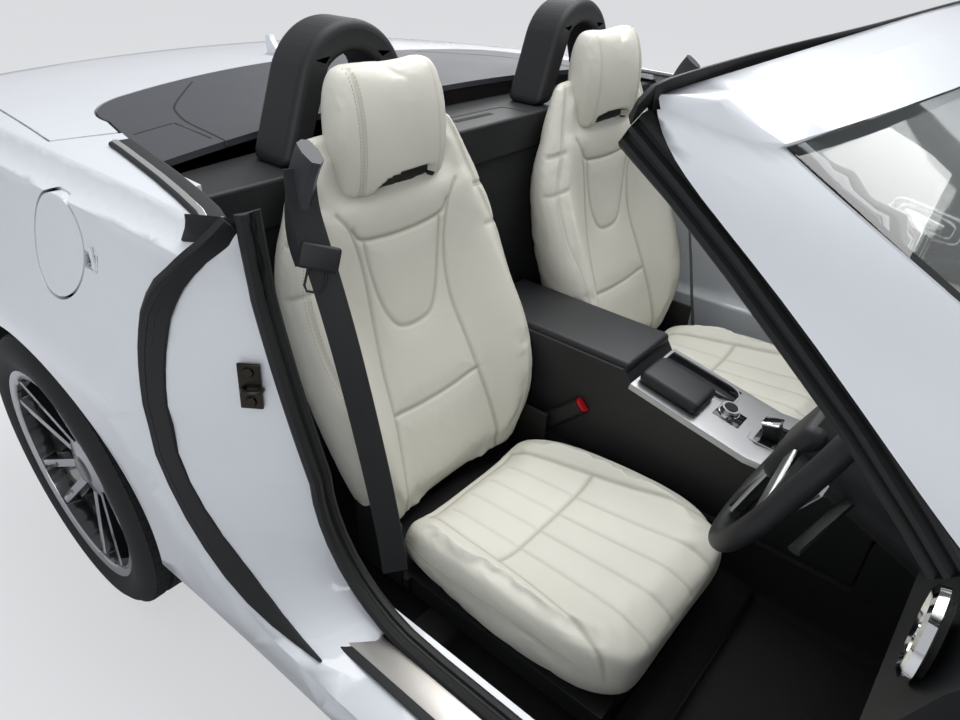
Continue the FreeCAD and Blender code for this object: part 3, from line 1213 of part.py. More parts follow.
# corner | axle x | side | track | tyre radius | tyre width | rim width | disc radius
CORNERS = [
    ("front_right", front_axle_x, -1, "front_track", "front_tyre_radius", "front_tyre_width",
     "front_rim_width", "front_disc_radius"),
    ("front_left", front_axle_x, 1, "front_track", "front_tyre_radius", "front_tyre_width",
     "front_rim_width", "front_disc_radius"),
    ("rear_right", rear_axle_x, -1, "rear_track", "rear_tyre_radius", "rear_tyre_width",
     "rear_rim_width", "rear_disc_radius"),
    ("rear_left", rear_axle_x, 1, "rear_track", "rear_tyre_radius", "rear_tyre_width",
     "rear_rim_width", "rear_disc_radius"),
]
for corner, axle_x, side, track, radius, width, rim_width, disc_radius in CORNERS:
    axle = Vector(axle_x, side * size[track] / 2, size[radius])
    wheel("wheel_" + corner, axle, size[rim_width], size[disc_radius], side)
    tyre("tyre_" + corner, axle, size[radius], size[width], size[rim_width], side)

# Grilles: slats and a rim that sits behind the bumper's skin, round the mouth and both side intakes
MOUTH_RIM = [(-442, 574), (-518, 474), (-484, 331), (484, 331), (518, 474), (442, 574)]
INTAKE_RIM = [(-546, 412), (-714, 444), (-704, 288), (-531, 273)]
grille_layer = under_skin.cut(lamp_inside).common(block(1640, 2200, -far, far, 200, 700))
mouth_rim = grille_layer.common(front_prism(MOUTH_RIM, 1640, 2200))
slats = [block(1640, 2200, -far, far, level, level + 14) for level in (375, 415, 455, 495, 530)]
uprights = [block(1640, 2200, place - 8, place + 8, 300, 600) for place in (-300, 0, 300)]
mouth_slats = [mouth_rim.common(slat) for slat in slats + uprights]
mouth_grille = fused(mouth_rim.cut(mouth_hole), *mouth_slats)
intake_rim = grille_layer.common(front_prism(INTAKE_RIM, 1640, 2200))
intake_slats = [
    intake_rim.common(block(1640, 2200, -far, far, level, level + 12)) for level in (320, 352, 384)
]
intake_grille = fused(intake_rim.cut(intake_hole), *intake_slats)
keep("grille", Part.makeCompound([mouth_grille, intake_grille, mirrored(intake_grille)]))


# The finished document: every object stands, and the whole is moved to its own frame
doc.recompute()
box = FreeCAD.BoundBox()
for label, feature in parts.items():
    shape = feature.Shape
    if shape.isNull() or not shape.isValid():
        raise RuntimeError("%s is not a valid shape" % label)
    if "Invalid" in feature.State or "Error" in feature.State:
        raise RuntimeError("%s failed to build" % label)
    box.add(shape.optimalBoundingBox(False, False))
to_origin = Vector(-(box.XMin + box.XMax) / 2, -(box.YMin + box.YMax) / 2, -box.ZMin)
for feature in parts.values():
    feature.Placement.Base = feature.Placement.Base + to_origin
doc.recompute()
os.makedirs("parts", exist_ok=True)
for label, feature in parts.items():
    feature.Shape.exportStep("parts/%s.step" % label)
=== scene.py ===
import json
import math
import bmesh
import bpy
import numpy as np
from mathutils import Matrix, Vector
from mathutils.bvhtree import BVHTree

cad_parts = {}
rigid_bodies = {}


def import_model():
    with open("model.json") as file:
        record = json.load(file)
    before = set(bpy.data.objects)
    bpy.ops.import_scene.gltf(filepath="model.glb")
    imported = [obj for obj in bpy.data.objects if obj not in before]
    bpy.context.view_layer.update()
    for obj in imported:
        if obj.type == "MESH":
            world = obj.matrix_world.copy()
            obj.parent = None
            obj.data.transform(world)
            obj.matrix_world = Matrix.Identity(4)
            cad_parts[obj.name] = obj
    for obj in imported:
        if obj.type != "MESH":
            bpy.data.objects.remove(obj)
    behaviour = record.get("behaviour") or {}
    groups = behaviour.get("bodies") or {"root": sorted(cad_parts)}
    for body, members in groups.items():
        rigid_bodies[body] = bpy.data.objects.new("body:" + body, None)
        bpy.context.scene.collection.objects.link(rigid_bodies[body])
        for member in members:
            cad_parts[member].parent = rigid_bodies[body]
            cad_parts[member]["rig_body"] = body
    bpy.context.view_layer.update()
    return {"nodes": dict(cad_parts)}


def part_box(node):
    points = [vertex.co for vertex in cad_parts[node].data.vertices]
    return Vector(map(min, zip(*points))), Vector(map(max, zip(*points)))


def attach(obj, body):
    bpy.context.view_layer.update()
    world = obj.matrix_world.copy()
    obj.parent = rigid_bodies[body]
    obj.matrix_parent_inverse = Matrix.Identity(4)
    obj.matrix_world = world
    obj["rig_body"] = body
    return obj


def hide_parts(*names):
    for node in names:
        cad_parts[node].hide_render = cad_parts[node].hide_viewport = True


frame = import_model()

# Where the car stands. Its own numbers are in millimetres: x forward from mid length, y to the left
# from the centre plane, z up from the ground. The imported model's frame is shifted, because the open door
# makes its box wider on the right.
cover_low, cover_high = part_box("tonneau_cover")
tyre_low, tyre_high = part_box("tyre_rear_right")
REAR_AXLE = -1206
car_place = Vector(((tyre_low[0] + tyre_high[0]) / 2 - REAR_AXLE / 1000, (cover_low[1] + cover_high[1]) / 2,
                    0))
to_frame = Matrix.Translation(car_place) @ Matrix.Scale(0.001, 4)


# The studio: a pale painted floor that meets a white surround, a large soft lamp overhead and two
# weaker ones low at the sides. The camera looks into the cabin over the driver's door sill. It was
# solved from the rear wheel's circle and from like points on both hoops and both seats.
CAMERA_PLACE = (142, -1197, 1322)
CAMERA_YAW = math.radians(129.30)
CAMERA_PITCH = math.radians(-32.08)
CAMERA_ROLL = math.radians(2.13)
CAMERA_LENS = 26.06
forward = Vector((math.cos(CAMERA_PITCH) * math.cos(CAMERA_YAW),
                  math.cos(CAMERA_PITCH) * math.sin(CAMERA_YAW), math.sin(CAMERA_PITCH)))
level_right = forward.cross(Vector((0, 0, 1))).normalized()
level_up = level_right.cross(forward)
camera_right = level_right * math.cos(CAMERA_ROLL) + level_up * math.sin(CAMERA_ROLL)
camera_up = level_up * math.cos(CAMERA_ROLL) - level_right * math.sin(CAMERA_ROLL)
camera = bpy.data.objects.new("camera", bpy.data.cameras.new("camera"))
camera.data.lens = CAMERA_LENS
camera.data.sensor_width = 36
camera.data.clip_start = 0.02
camera.matrix_world = Matrix.Translation(to_frame @ Vector(CAMERA_PLACE)) @ Matrix(
    (camera_right, camera_up, -forward)).transposed().to_4x4()
bpy.context.scene.collection.objects.link(camera)
bpy.context.scene.camera = camera
bpy.context.scene.view_settings.view_transform = "Standard"


def linear(colour):
    """A colour written as sRGB hex, as the linear numbers that a shader takes."""
    shares = [int(colour[i:i + 2], 16) / 255 for i in (1, 3, 5)]
    lights = [share / 12.92 if share <= 0.04045 else ((share + 0.055) / 1.055) ** 2.4 for share in shares]
    return (*lights, 1)


def add(tree, kind, settings=None, **inputs):
    """A shader node with its settings; each input is a value or another node's output."""
    node = tree.nodes.new("ShaderNode" + kind)
    for setting, value in (settings or {}).items():
        setattr(node, setting, value)
    for name, value in inputs.items():
        socket = node.inputs[int(name[1:])] if name[0] == "_" else node.inputs[name.replace("_", " ")]
        if isinstance(value, bpy.types.NodeSocket):
            tree.links.new(value, socket)
        else:
            socket.default_value = value
    return node


def blank_material(name):
    """A material with an empty node tree and its output."""
    material = bpy.data.materials.new(name)
    material.use_nodes = True
    material.node_tree.nodes.clear()
    return material, material.node_tree, material.node_tree.nodes.new("ShaderNodeOutputMaterial")


# sprayed floor paint: an even pale grey with faint clouds, and no gloss; a share of plain light keeps it
# pale to the camera without lighting the car
FLOOR_HALF = 30000
FLOOR_GLOW = 0.62
floor_material, tree, out = blank_material("pale floor paint")
light_path = add(tree, "LightPath")
floor_noise = add(tree, "TexNoise", Vector=add(tree, "TexCoord").outputs["Object"], Scale=1.3, Detail=3.0)
floor_colour = add(tree, "Mix", {"data_type": "RGBA"}, Factor=floor_noise.outputs["Fac"],
                   _6=linear("#d3d4d6"), _7=linear("#dcdddf"))
floor_shader = add(tree, "BsdfPrincipled", Base_Color=floor_colour.outputs[2], Roughness=0.8)
floor_pale = add(tree, "Emission", Color=linear("#f4f5f7"), Strength=1.0)
floor_share = add(tree, "Math", {"operation": "MULTIPLY"}, _0=light_path.outputs["Is Camera Ray"],
                  _1=FLOOR_GLOW)
floor_seen = add(tree, "MixShader", _0=floor_share.outputs[0], _1=floor_shader.outputs[0],
                 _2=floor_pale.outputs[0])
tree.links.new(floor_seen.outputs[0], out.inputs["Surface"])
shape = bmesh.new()
bmesh.ops.create_grid(shape, x_segments=1, y_segments=1, size=FLOOR_HALF)
shape.transform(to_frame)
floor = bpy.data.objects.new("floor", bpy.data.meshes.new("floor"))
shape.to_mesh(floor.data)
floor.data.materials.append(floor_material)
bpy.context.scene.collection.objects.link(floor)

# the surround lights the car less than it shows, so that whites keep their shading
SURROUND_LIGHT = 0.62
world = bpy.data.worlds.new("white surround")
world.use_nodes = True
tree = world.node_tree
tree.nodes.clear()
light_path = add(tree, "LightPath")
seen = add(tree, "Math", {"operation": "MAXIMUM"}, _0=light_path.outputs["Is Camera Ray"],
           _1=light_path.outputs["Is Transmission Ray"])
surround = add(tree, "Background", Color=linear("#eef1f6"), Strength=SURROUND_LIGHT)
seen_surround = add(tree, "Background", Color=linear("#ffffff"), Strength=1.0)
blend = add(tree, "MixShader", _0=seen.outputs[0], _1=surround.outputs[0], _2=seen_surround.outputs[0])
tree.links.new(blend.outputs[0], tree.nodes.new("ShaderNodeOutputWorld").inputs["Surface"])
bpy.context.scene.world = world

# lamp | place | aimed at | size | power
for name, lamp_place, aim, lamp_size, power in [
    ("overhead lamp", (-600, 1500, 4600), (-300, 0, 600), 4.2, 210),
    ("right lamp", (2600, -4200, 2600), (-300, -600, 600), 2.4, 60),
    ("left lamp", (-3600, 3600, 2400), (-300, 0, 700), 2.4, 60),
]:
    lamp = bpy.data.objects.new(name, bpy.data.lights.new(name, "AREA"))
    lamp.data.size = lamp_size
    lamp.data.energy = power
    lamp_start, lamp_end = to_frame @ Vector(lamp_place), to_frame @ Vector(aim)
    lamp_turn = (lamp_end - lamp_start).to_track_quat("-Z", "Y").to_matrix().to_4x4()
    lamp.matrix_world = Matrix.Translation(lamp_start) @ lamp_turn
    bpy.context.scene.collection.objects.link(lamp)


# Outer panels: pressed steel and moulded bumper skins, bolted and welded to the shell, primed and sprayed
# cool white with a clear coat over it.
def finished(name, colour, roughness, bump=None, **sockets):
    """A material of one shader; bump is the size of its grain in millimetres and the depth."""
    material, tree, out = blank_material(name)
    place_on = add(tree, "TexCoord").outputs["Object"]
    tint = add(tree, "TexNoise", Vector=place_on, Scale=9.0, Detail=4.0)
    darker = tuple(part * 0.93 for part in linear(colour)[:3]) + (1,)
    colours = add(tree, "Mix", {"data_type": "RGBA"}, Factor=tint.outputs["Fac"], _6=darker,
                  _7=linear(colour))
    gloss = add(tree, "MapRange", Value=tint.outputs["Fac"], To_Min=roughness * 0.92,
                To_Max=min(1, roughness * 1.08))
    shader = add(tree, "BsdfPrincipled", Base_Color=colours.outputs[2], Roughness=gloss.outputs[0], **sockets)
    if bump:
        grain_size, depth = bump
        grain = add(tree, "TexNoise", Vector=place_on, Scale=1000 / grain_size, Detail=2.0)
        relief = add(tree, "Bump", Height=grain.outputs["Fac"], Strength=0.6, Distance=depth / 1000)
        tree.links.new(relief.outputs[0], shader.inputs["Normal"])
    tree.links.new(shader.outputs[0], out.inputs["Surface"])
    return material


# sprayed enamel under clear coat: cool white with sharp reflections, which a trace of orange peel breaks
# up, about 4 mm from crest to crest and hardly deeper than a hundredth
white_paint = finished("sprayed white enamel", "#e3e7ec", 0.32, bump=(4, 0.012), Coat_Weight=1.0,
                       Coat_Roughness=0.03)
SHARP = math.radians(28)


def smooth_copy(node, material, soften=0):
    """A merged, smooth-shaded copy of a node, which stands for it."""
    source = frame["nodes"][node]
    shape = bmesh.new()
    shape.from_mesh(source.data)
    bmesh.ops.remove_doubles(shape, verts=shape.verts, dist=0.00001)
    mesh = bpy.data.meshes.new(node + "_panel")
    shape.to_mesh(mesh)
    shape.free()
    mesh.materials.clear()
    mesh.materials.append(material)
    mesh.polygons.foreach_set("material_index", [0] * len(mesh.polygons))
    mesh.polygons.foreach_set("use_smooth", [True] * len(mesh.polygons))
    mesh.set_sharp_from_angle(angle=SHARP)
    piece = bpy.data.objects.new(node + "_panel", mesh)
    bpy.context.scene.collection.objects.link(piece)
    if soften:
        edge = piece.modifiers.new("softened edges", "BEVEL")
        edge.width = soften / 1000
        edge.segments = 4
        edge.limit_method = "ANGLE"
        edge.angle_limit = math.radians(35)
        edge.harden_normals = True
    even = piece.modifiers.new("even shading", "WEIGHTED_NORMAL")
    even.keep_sharp = True
    even.weight = 100
    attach(piece, source["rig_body"])
    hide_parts(node)
    return piece


for node in ("body_sides", "front_wings", "front_bumper", "rear_bumper", "bonnet", "boot_lid", "fuel_flap",
             "door_right", "door_left", "windscreen_frame", "mirror_right", "mirror_left", "front_bulkhead"):
    smooth_copy(node, white_paint)


# Black parts of the shell: the floor, the wheel boxes and the inner panels are folded from steel sheet and
# welded, then sprayed with underseal; inside the cabin a carpet lies glued over the floor.

# rubberised underseal: a dull, nearly black skin with coarse spatter
underseal = finished("rubberised underseal", "#1b1c1e", 0.85, bump=(6, 0.5))
# cut-pile carpet: matt black, with tufts that are drawn at 2.2 mm so that they show
carpet = finished("black cut-pile carpet", "#131315", 0.95, bump=(2.2, 1.2))
CARPET_LOWEST = 0.172
for node in ("front_structure", "floor_pan", "rear_tub"):
    inner_piece = smooth_copy(node, underseal)
    inner_piece.data.materials.append(carpet)
    for polygon in inner_piece.data.polygons:
        if node == "floor_pan" and polygon.normal.z > -0.3 and polygon.center.z > CARPET_LOWEST:
            polygon.material_index = 1


# Covers and cabin mouldings: injection-moulded glass-filled nylon, clipped to the shell from above; the
# dashboard, hoops and console are moulded with rounded edges, and the grille is moulded in gloss black.

# grained nylon: dark grey and satin, with a fine even grain from the mould
cover_trim = finished("grained dark nylon", "#3c3e43", 0.6, bump=(0.7, 0.05))
# grained moulding: black, with soft broad highlights on its edges
black_trim = finished("grained black moulding", "#1a1b1d", 0.55, bump=(0.9, 0.08))
smooth_copy("tonneau_cover", cover_trim)
# node | radius of its edges
for node, soften in [("scuttle_panel", 0), ("rear_shelf", 6), ("roll_hoops", 15), ("dashboard", 8),
                     ("centre_console", 5), ("steering_column", 4), ("door_trim_right", 5),
                     ("door_trim_left", 5), ("steering_wheel", 2)]:
    smooth_copy(node, black_trim, soften=soften)
# gloss moulding: black and smooth as it leaves a polished mould, so it mirrors its surroundings
gloss_black = finished("gloss black moulding", "#0d0e0f", 0.12)
smooth_copy("grille", gloss_black)


# Seats: cream hide sewn over moulded foam, with a side bolster on each edge, an arched black slot under the
# headrest, an inlay down the middle of the back and channels in the cushion. Each cover is puffed up as cloth
# under pressure, then its seams are drawn in, given painted shade along them and sewn with two rows of
# thread.
SEAT_MIDDLE = -357
# colour of the painted shade in the seams' grooves
SHUT_SHADE = "#8e897a"


def hide(name, colour):
    """Hide with a pebbled grain, soft pull wrinkles and painted shade along the seams, which the crease
    attribute marks.
    """
    material, tree, out = blank_material(name)
    place_on = add(tree, "TexCoord").outputs["Object"]
    tone = add(tree, "TexNoise", Vector=place_on, Scale=7.0, Detail=5.0)
    base = add(tree, "Mix", {"data_type": "RGBA"}, Factor=tone.outputs["Fac"],
               _6=tuple(part * 0.93 for part in linear(colour)[:3]) + (1,), _7=linear(colour))
    # painted shade: the crease attribute darkens the hide towards SHUT_SHADE in the seams' grooves
    crease = add(tree, "Attribute", {"attribute_name": "crease"})
    seam_painted_shade = add(tree, "Math", {"operation": "MULTIPLY"}, _0=crease.outputs["Fac"], _1=0.62)
    shade = add(tree, "Mix", {"data_type": "RGBA"}, Factor=seam_painted_shade.outputs[0], _6=base.outputs[2],
                _7=linear(SHUT_SHADE))
    pebble = add(tree, "TexVoronoi", Vector=place_on, Scale=1000 / 1.7)
    pulls = add(tree, "TexNoise", Vector=place_on, Scale=24.0, Detail=3.0, Distortion=0.6)
    fine = add(tree, "Bump", Height=pebble.outputs["Distance"], Strength=0.35, Distance=0.0003)
    wavy = add(tree, "Bump", Height=pulls.outputs["Fac"], Strength=0.5, Distance=0.0022,
               Normal=fine.outputs[0])
    shader = add(tree, "BsdfPrincipled", Base_Color=shade.outputs[2], Roughness=0.46, Normal=wavy.outputs[0],
                 Specular_IOR_Level=0.42)
    tree.links.new(shader.outputs[0], out.inputs["Surface"])
    return material


# cream hide: warm off-white with a satin sheen, fine pebbles and soft pull wrinkles
cream_hide = hide("cream pebbled hide", "#dddbd0")
# twisted polyester thread, a shade darker than the hide, so that each stitch shows
thread_material = finished("twisted cream thread", "#b9b4a2", 0.7, bump=(0.6, 0.1))
# matt moulding that lines slots: no reflections, so that it looks deep; its near-black is partly the
# moulding's own black and partly painted shade of the depth behind
black_and_depth_shade = finished("matt black moulding", "#0b0b0c", 0.7, bump=(0.9, 0.05))


def shape_to_piece(name, shape, *materials, sharp=30, body="root"):
    """Turns a bmesh in the car's millimetres into a piece of the imported model's frame that rides on a body.
    """
    bmesh.ops.remove_doubles(shape, verts=shape.verts, dist=0.01)
    bmesh.ops.recalc_face_normals(shape, faces=shape.faces)
    shape.transform(to_frame)
    mesh = bpy.data.meshes.new(name)
    shape.to_mesh(mesh)
    shape.free()
    for material in materials:
        mesh.materials.append(material)
    mesh.polygons.foreach_set("use_smooth", [True] * len(mesh.polygons))
    mesh.set_sharp_from_angle(angle=math.radians(sharp))
    piece = bpy.data.objects.new(name, mesh)
    bpy.context.scene.collection.objects.link(piece)
    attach(piece, body)
    return piece


def applied(piece):
    """Applies the modifiers that a piece has."""
    mesh = bpy.data.meshes.new_from_object(piece.evaluated_get(bpy.context.evaluated_depsgraph_get()))
    piece.modifiers.clear()
    piece.data = mesh


def points_of(mesh, kind="co"):
    """A mesh's points, or their normals, as rows."""
    flat = np.empty(len(mesh.vertices) * 3)
    mesh.vertices.foreach_get(kind, flat)
    return flat.reshape(-1, 3)


def pad_form(name, rows, half_section, place):
    """A closed pad through one ring a row; half_section gives half a ring, from the middle to the rear."""
    shape = bmesh.new()
    rings = []
    for row in rows:
        half = half_section(*row[1:])
        points = half + [(-across, out) for across, out in half[-2:0:-1]]
        ring = bmesh.ops.create_circle(shape, segments=len(points), radius=1)["verts"]
        for vert, (across, out) in zip(ring, points):
            vert.co = place(row[0], SEAT_MIDDLE + across, out)
        rings.append(ring)
    for first, second in zip(rings, rings[1:]):
        edges = {edge for vert in first + second for edge in vert.link_edges
                 if edge.other_vert(vert) in (first if vert in first else second)}
        bmesh.ops.bridge_loops(shape, edges=list(edges))
    bmesh.ops.holes_fill(shape, edges=[edge for edge in shape.edges if edge.is_boundary], sides=0)
    piece = shape_to_piece(name, shape, cream_hide)
    rounding = piece.modifiers.new("rounding", "SUBSURF")
    rounding.levels = rounding.render_levels = 3
    applied(piece)
    return piece


CLOTH_FRAMES = 20


def puffed(piece, voxel, cap, pressure=4.0):
    """Remeshes a form and swells it as cloth under pressure, with a cap in millimetres on each point."""
    remesh = piece.modifiers.new("remesh", "REMESH")
    remesh.mode = "VOXEL"
    remesh.voxel_size = voxel / 1000
    applied(piece)
    start = points_of(piece.data)
    cloth = piece.modifiers.new("cloth", "CLOTH")
    cloth.settings.use_pressure = True
    cloth.settings.uniform_pressure_force = pressure
    cloth.settings.effector_weights.gravity = 0
    for frame_number in range(1, CLOTH_FRAMES + 1):
        bpy.context.scene.frame_set(frame_number)
        bpy.context.view_layer.update()
    applied(piece)
    bpy.context.scene.frame_set(1)
    moved = points_of(piece.data) - start
    reach = np.linalg.norm(moved, axis=1, keepdims=True)
    start += moved * np.minimum(1, cap / 1000 / np.maximum(reach, 1e-9))
    piece.data.vertices.foreach_set("co", start.ravel())
    finer = piece.modifiers.new("finer", "SUBSURF")
    finer.levels = finer.render_levels = 1
    applied(piece)
    piece.data.polygons.foreach_set("use_smooth", [True] * len(piece.data.polygons))


def rounded_line(corners, steps=7):
    """A smooth line through its corners."""
    padded = [corners[0]] + list(corners) + [corners[-1]]
    line = []
    for a, b, c, d in zip(padded, padded[1:], padded[2:], padded[3:]):
        for step in range(steps):
            t = step / steps
            line.append(tuple(0.5 * (2 * q + (r - p) * t + (2 * p - 5 * q + 4 * r - s) * t * t
                                     + (3 * q - p - 3 * r + s) * t ** 3) for p, q, r, s in zip(a, b, c, d)))
    return line + [tuple(corners[-1])]


FOLD_WIDTH, SHADE_WIDTH = 4.5, 3.6


def sewn(piece, seams, view_axis, deep=7.0, wide=24.0):
    """Draws seams into the side of a pad that faces along an axis, and marks how near each point is, for the
    painted shade along the seams.
    """
    mesh = piece.data
    local = (points_of(mesh) - np.array(car_place)) * 1000
    normals = points_of(mesh, "normal")
    flat = np.delete(local, view_axis, axis=1)
    share = np.clip(normals[:, view_axis] * 2.4, 0, 1)
    drop, crease = np.zeros(len(local)), np.zeros(len(local))
    for line, weight, _ in seams:
        nearest = np.full(len(local), 1e9)
        for start, end in zip(line, line[1:]):
            start, along = np.array(start), np.array(end) - np.array(start)
            where = np.clip(((flat - start) @ along) / max(along @ along, 1e-9), 0, 1)
            nearest = np.minimum(nearest, np.linalg.norm(flat - start - where[:, None] * along, axis=1))
        pulled = 0.5 * np.exp(-(nearest / wide) ** 2) + 0.5 * np.exp(-(nearest / FOLD_WIDTH) ** 2)
        drop = np.maximum(drop, weight * deep * pulled)
        crease = np.maximum(crease, min(1, weight) * np.exp(-(nearest / SHADE_WIDTH) ** 2))
    local -= normals * (drop * share)[:, None]
    mesh.vertices.foreach_set("co", (local / 1000 + np.array(car_place)).ravel())
    mark = mesh.attributes.new("crease", "FLOAT", "POINT")
    mark.data.foreach_set("value", crease * share)
    mesh.update()


def surface_of(piece):
    """The surface of a piece, for placing things on it."""
    mesh = piece.data
    return BVHTree.FromPolygons([v.co for v in mesh.vertices], [p.vertices for p in mesh.polygons])


def stitched(name, piece, seams, view_axis, offset=5.0, pitch=5.5):
    """Rows of stitches on each side of the seams that are topstitched."""
    surface = surface_of(piece)
    axes = [axis for axis in (0, 1, 2) if axis != view_axis]
    shape = bmesh.new()
    for line, _, rows in seams:
        for row in rows:
            spare = 0
            for start, end in zip(line, line[1:]):
                start, run = Vector(start), Vector(end) - Vector(start)
                length = run.length
                side = Vector((-run.y, run.x)) / max(length, 1e-6) * row * offset
                while spare < length:
                    at = start + run * (spare / length) + side
                    spare += pitch
                    origin = Vector((500, 500, 1500))
                    origin[axes[0]], origin[axes[1]] = at
                    ray = Vector((0, 0, 0))
                    ray[view_axis] = -1
                    hit, normal, _, _ = surface.ray_cast(to_frame @ origin, ray)
                    if hit is None or normal[view_axis] < 0.2:
                        continue
                    along = Vector((0, 0, 0))
                    along[axes[0]], along[axes[1]] = run / length
                    along = (along - normal * along.dot(normal)).normalized()
                    turn = Matrix((along, normal.cross(along), normal)).transposed().to_4x4()
                    stitch = bmesh.ops.create_cube(shape, size=1)["verts"]
                    place = Matrix.Translation(to_frame.inverted() @ hit + normal * 0.2)
                    size = Matrix.Diagonal((pitch * 0.68, 1.0, 0.8, 1))
                    bmesh.ops.transform(shape, verts=stitch, matrix=place @ turn @ size)
                spare -= length
    return shape_to_piece(name, shape, thread_material)


def other_side(piece, name, body="root"):
    """The same piece on the other side of the car."""
    shape = bmesh.new()
    shape.from_mesh(piece.data)
    shape.transform(to_frame.inverted())
    shape.transform(Matrix.Diagonal((1, -1, 1, 1)))
    bmesh.ops.reverse_faces(shape, faces=shape.faces)
    shape.transform(to_frame)
    mesh = piece.data.copy()
    mesh.name = name
    shape.to_mesh(mesh)
    shape.free()
    twin = bpy.data.objects.new(name, mesh)
    bpy.context.scene.collection.objects.link(twin)
    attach(twin, body)
    return twin


# backrest: height | middle x | bolster crest x | crest's half | outer half | widest x | rear x
BACK_ROWS = [
    (296, -612, -590, 168, 206, -618, -690), (350, -620, -576, 184, 222, -612, -706),
    (430, -636, -566, 200, 246, -606, -730), (510, -656, -572, 212, 262, -618, -752),
    (590, -690, -598, 220, 272, -650, -774), (670, -722, -642, 226, 280, -688, -790),
    (750, -738, -690, 228, 282, -718, -800), (820, -744, -720, 222, 276, -740, -806),
    (878, -746, -736, 208, 256, -752, -808), (906, -750, -744, 200, 242, -758, -808),
    (930, -776, -750, 192, 230, -764, -809), (975, -782, -760, 180, 208, -774, -809),
    (1015, -786, -770, 166, 186, -780, -808), (1036, -790, -780, 150, 168, -786, -806),
]
# cushion: place along | middle height | crest height | crest's half | outer half | widest height | underside
CUSHION_ROWS = [
    (-586, 318, 326, 158, 190, 312, 280), (-556, 332, 362, 178, 214, 330, 272),
    (-470, 340, 388, 194, 234, 342, 266), (-320, 350, 400, 202, 244, 348, 264),
    (-200, 360, 400, 204, 242, 350, 264), (-130, 368, 390, 196, 230, 342, 268),
    (-86, 366, 374, 172, 204, 330, 276), (-62, 348, 350, 138, 170, 322, 290),
]


def pad_section(middle, crest, crest_half, outer_half, widest, rear):
    """Half a ring of a backrest or cushion: flat middle, bolster's crest and a side that turns under."""
    rise = crest - middle
    return [
        (0, middle), (0.36 * crest_half, middle), (0.62 * crest_half, middle + 0.06 * rise),
        (0.8 * crest_half, middle + 0.5 * rise), (crest_half, crest),
        (0.5 * (crest_half + outer_half), crest - 0.1 * (crest - widest)), (outer_half, widest),
        (outer_half - 3, 0.5 * (widest + rear)), (0.88 * outer_half, rear), (0.45 * outer_half, rear),
        (0, rear),
    ]


backrest_right = pad_form("backrest_right", BACK_ROWS, pad_section,
                          lambda level, y, out: Vector((out, y, level)))
puffed(backrest_right, 8, 9)
cushion_right = pad_form("cushion_right", CUSHION_ROWS, pad_section,
                         lambda level, y, out: Vector((level, y, out)))
puffed(cushion_right, 8, 10)
# headrest: height | front x | edge x | flat's half | outer half | widest x | rear x
HEADREST_ROWS = [
    (914, -738, -745, 92, 112, -770, -802), (930, -728, -738, 104, 124, -768, -812),
    (980, -722, -734, 112, 131, -766, -818), (1040, -724, -736, 114, 132, -770, -820),
    (1090, -734, -745, 108, 127, -776, -816), (1122, -748, -756, 96, 114, -780, -806),
    (1131, -764, -768, 74, 92, -782, -798),
]


def headrest_section(middle, crest, crest_half, outer_half, widest, rear):
    """Half a ring of a headrest: nearly flat in front, with full round sides."""
    return [
        (0, middle), (0.5 * crest_half, middle + 0.1 * (crest - middle)), (crest_half, crest),
        (0.5 * (crest_half + outer_half) + 4, 0.7 * crest + 0.3 * widest), (outer_half, widest),
        (outer_half - 6, 0.4 * widest + 0.6 * rear), (0.75 * outer_half, rear), (0, rear),
    ]


headrest_right = pad_form("headrest_right", HEADREST_ROWS, headrest_section,
                          lambda level, y, out: Vector((out, y, level)))
puffed(headrest_right, 7, 7)


def on_seat(points):
    """Seam points across the seat and up, in the car's own numbers."""
    return [(SEAT_MIDDLE + across, level) for across, level in points]


def both_edges(points):
    """The same seam on both sides of the seat."""
    mirrored = [(-across, level) for across, level in points]
    return [on_seat(rounded_line(points)), on_seat(rounded_line(mirrored))]


# a seam is a line, its depth as a share of the deepest, and the sides on which it is topstitched
PAIR, SINGLE, BARE = (-1, 1), (1,), ()
back_seams = [(line, 0.8, BARE) for line in both_edges(
    [(146, 905), (122, 868), (104, 790), (102, 690), (114, 590), (120, 520), (132, 420), (140, 320)])]
back_seams += [
    (on_seat(rounded_line([(-118, 872), (-100, 850), (-50, 842), (0, 840), (50, 842), (100, 850),
                           (118, 872)])), 1.0, BARE),
    (on_seat(rounded_line([(-96, 848), (-88, 790), (-72, 720), (-50, 676), (-22, 662), (22, 662), (50, 676),
                           (72, 720), (88, 790), (96, 848)])), 0.8, BARE),
    (on_seat(rounded_line([(-119, 524), (-60, 516), (0, 514), (60, 516), (119, 524)])), 1.0, BARE),
]
for sign in (-1, 1):
    back_seams += [
        (on_seat([(sign * 196, 884), (sign * 300, 868)]), 0.7, PAIR),
        (on_seat([(sign * 206, 806), (sign * 310, 786)]), 0.6, BARE),
        (on_seat(rounded_line([(sign * 150, 1030), (sign * 178, 960), (sign * 205, 884), (sign * 238, 800),
                               (sign * 246, 700), (sign * 238, 600), (sign * 226, 500), (sign * 208, 400),
                               (sign * 190, 320)])), 0.45, PAIR if sign < 0 else SINGLE),
    ]
sewn(backrest_right, back_seams, 0)
cushion_seams = [([(level, y) for y, level in line], 0.8, BARE) for line in both_edges(
    [(128, -556), (140, -460), (150, -362), (162, -270), (184, -170), (206, -92), (214, -64)])]
cushion_seams += [
    ([(level, y) for y, level in on_seat([(-128, -552), (0, -556), (128, -552)])], 0.8, BARE),
    ([(level, y) for y, level in on_seat([(-150, -362), (150, -362)])], 1.0, BARE),
]
for across in (-90, -30, 30, 90):
    cushion_seams.append(([(level, y) for y, level in on_seat(rounded_line(
        [(across, -356), (across * 1.08, -220), (across * 1.2, -110), (across * 1.24, -60)]))], 0.55, BARE))
    cushion_seams.append(([(level, y) for y, level in on_seat([(across * 0.96, -530), (across, -370)])], 0.35,
                          BARE))
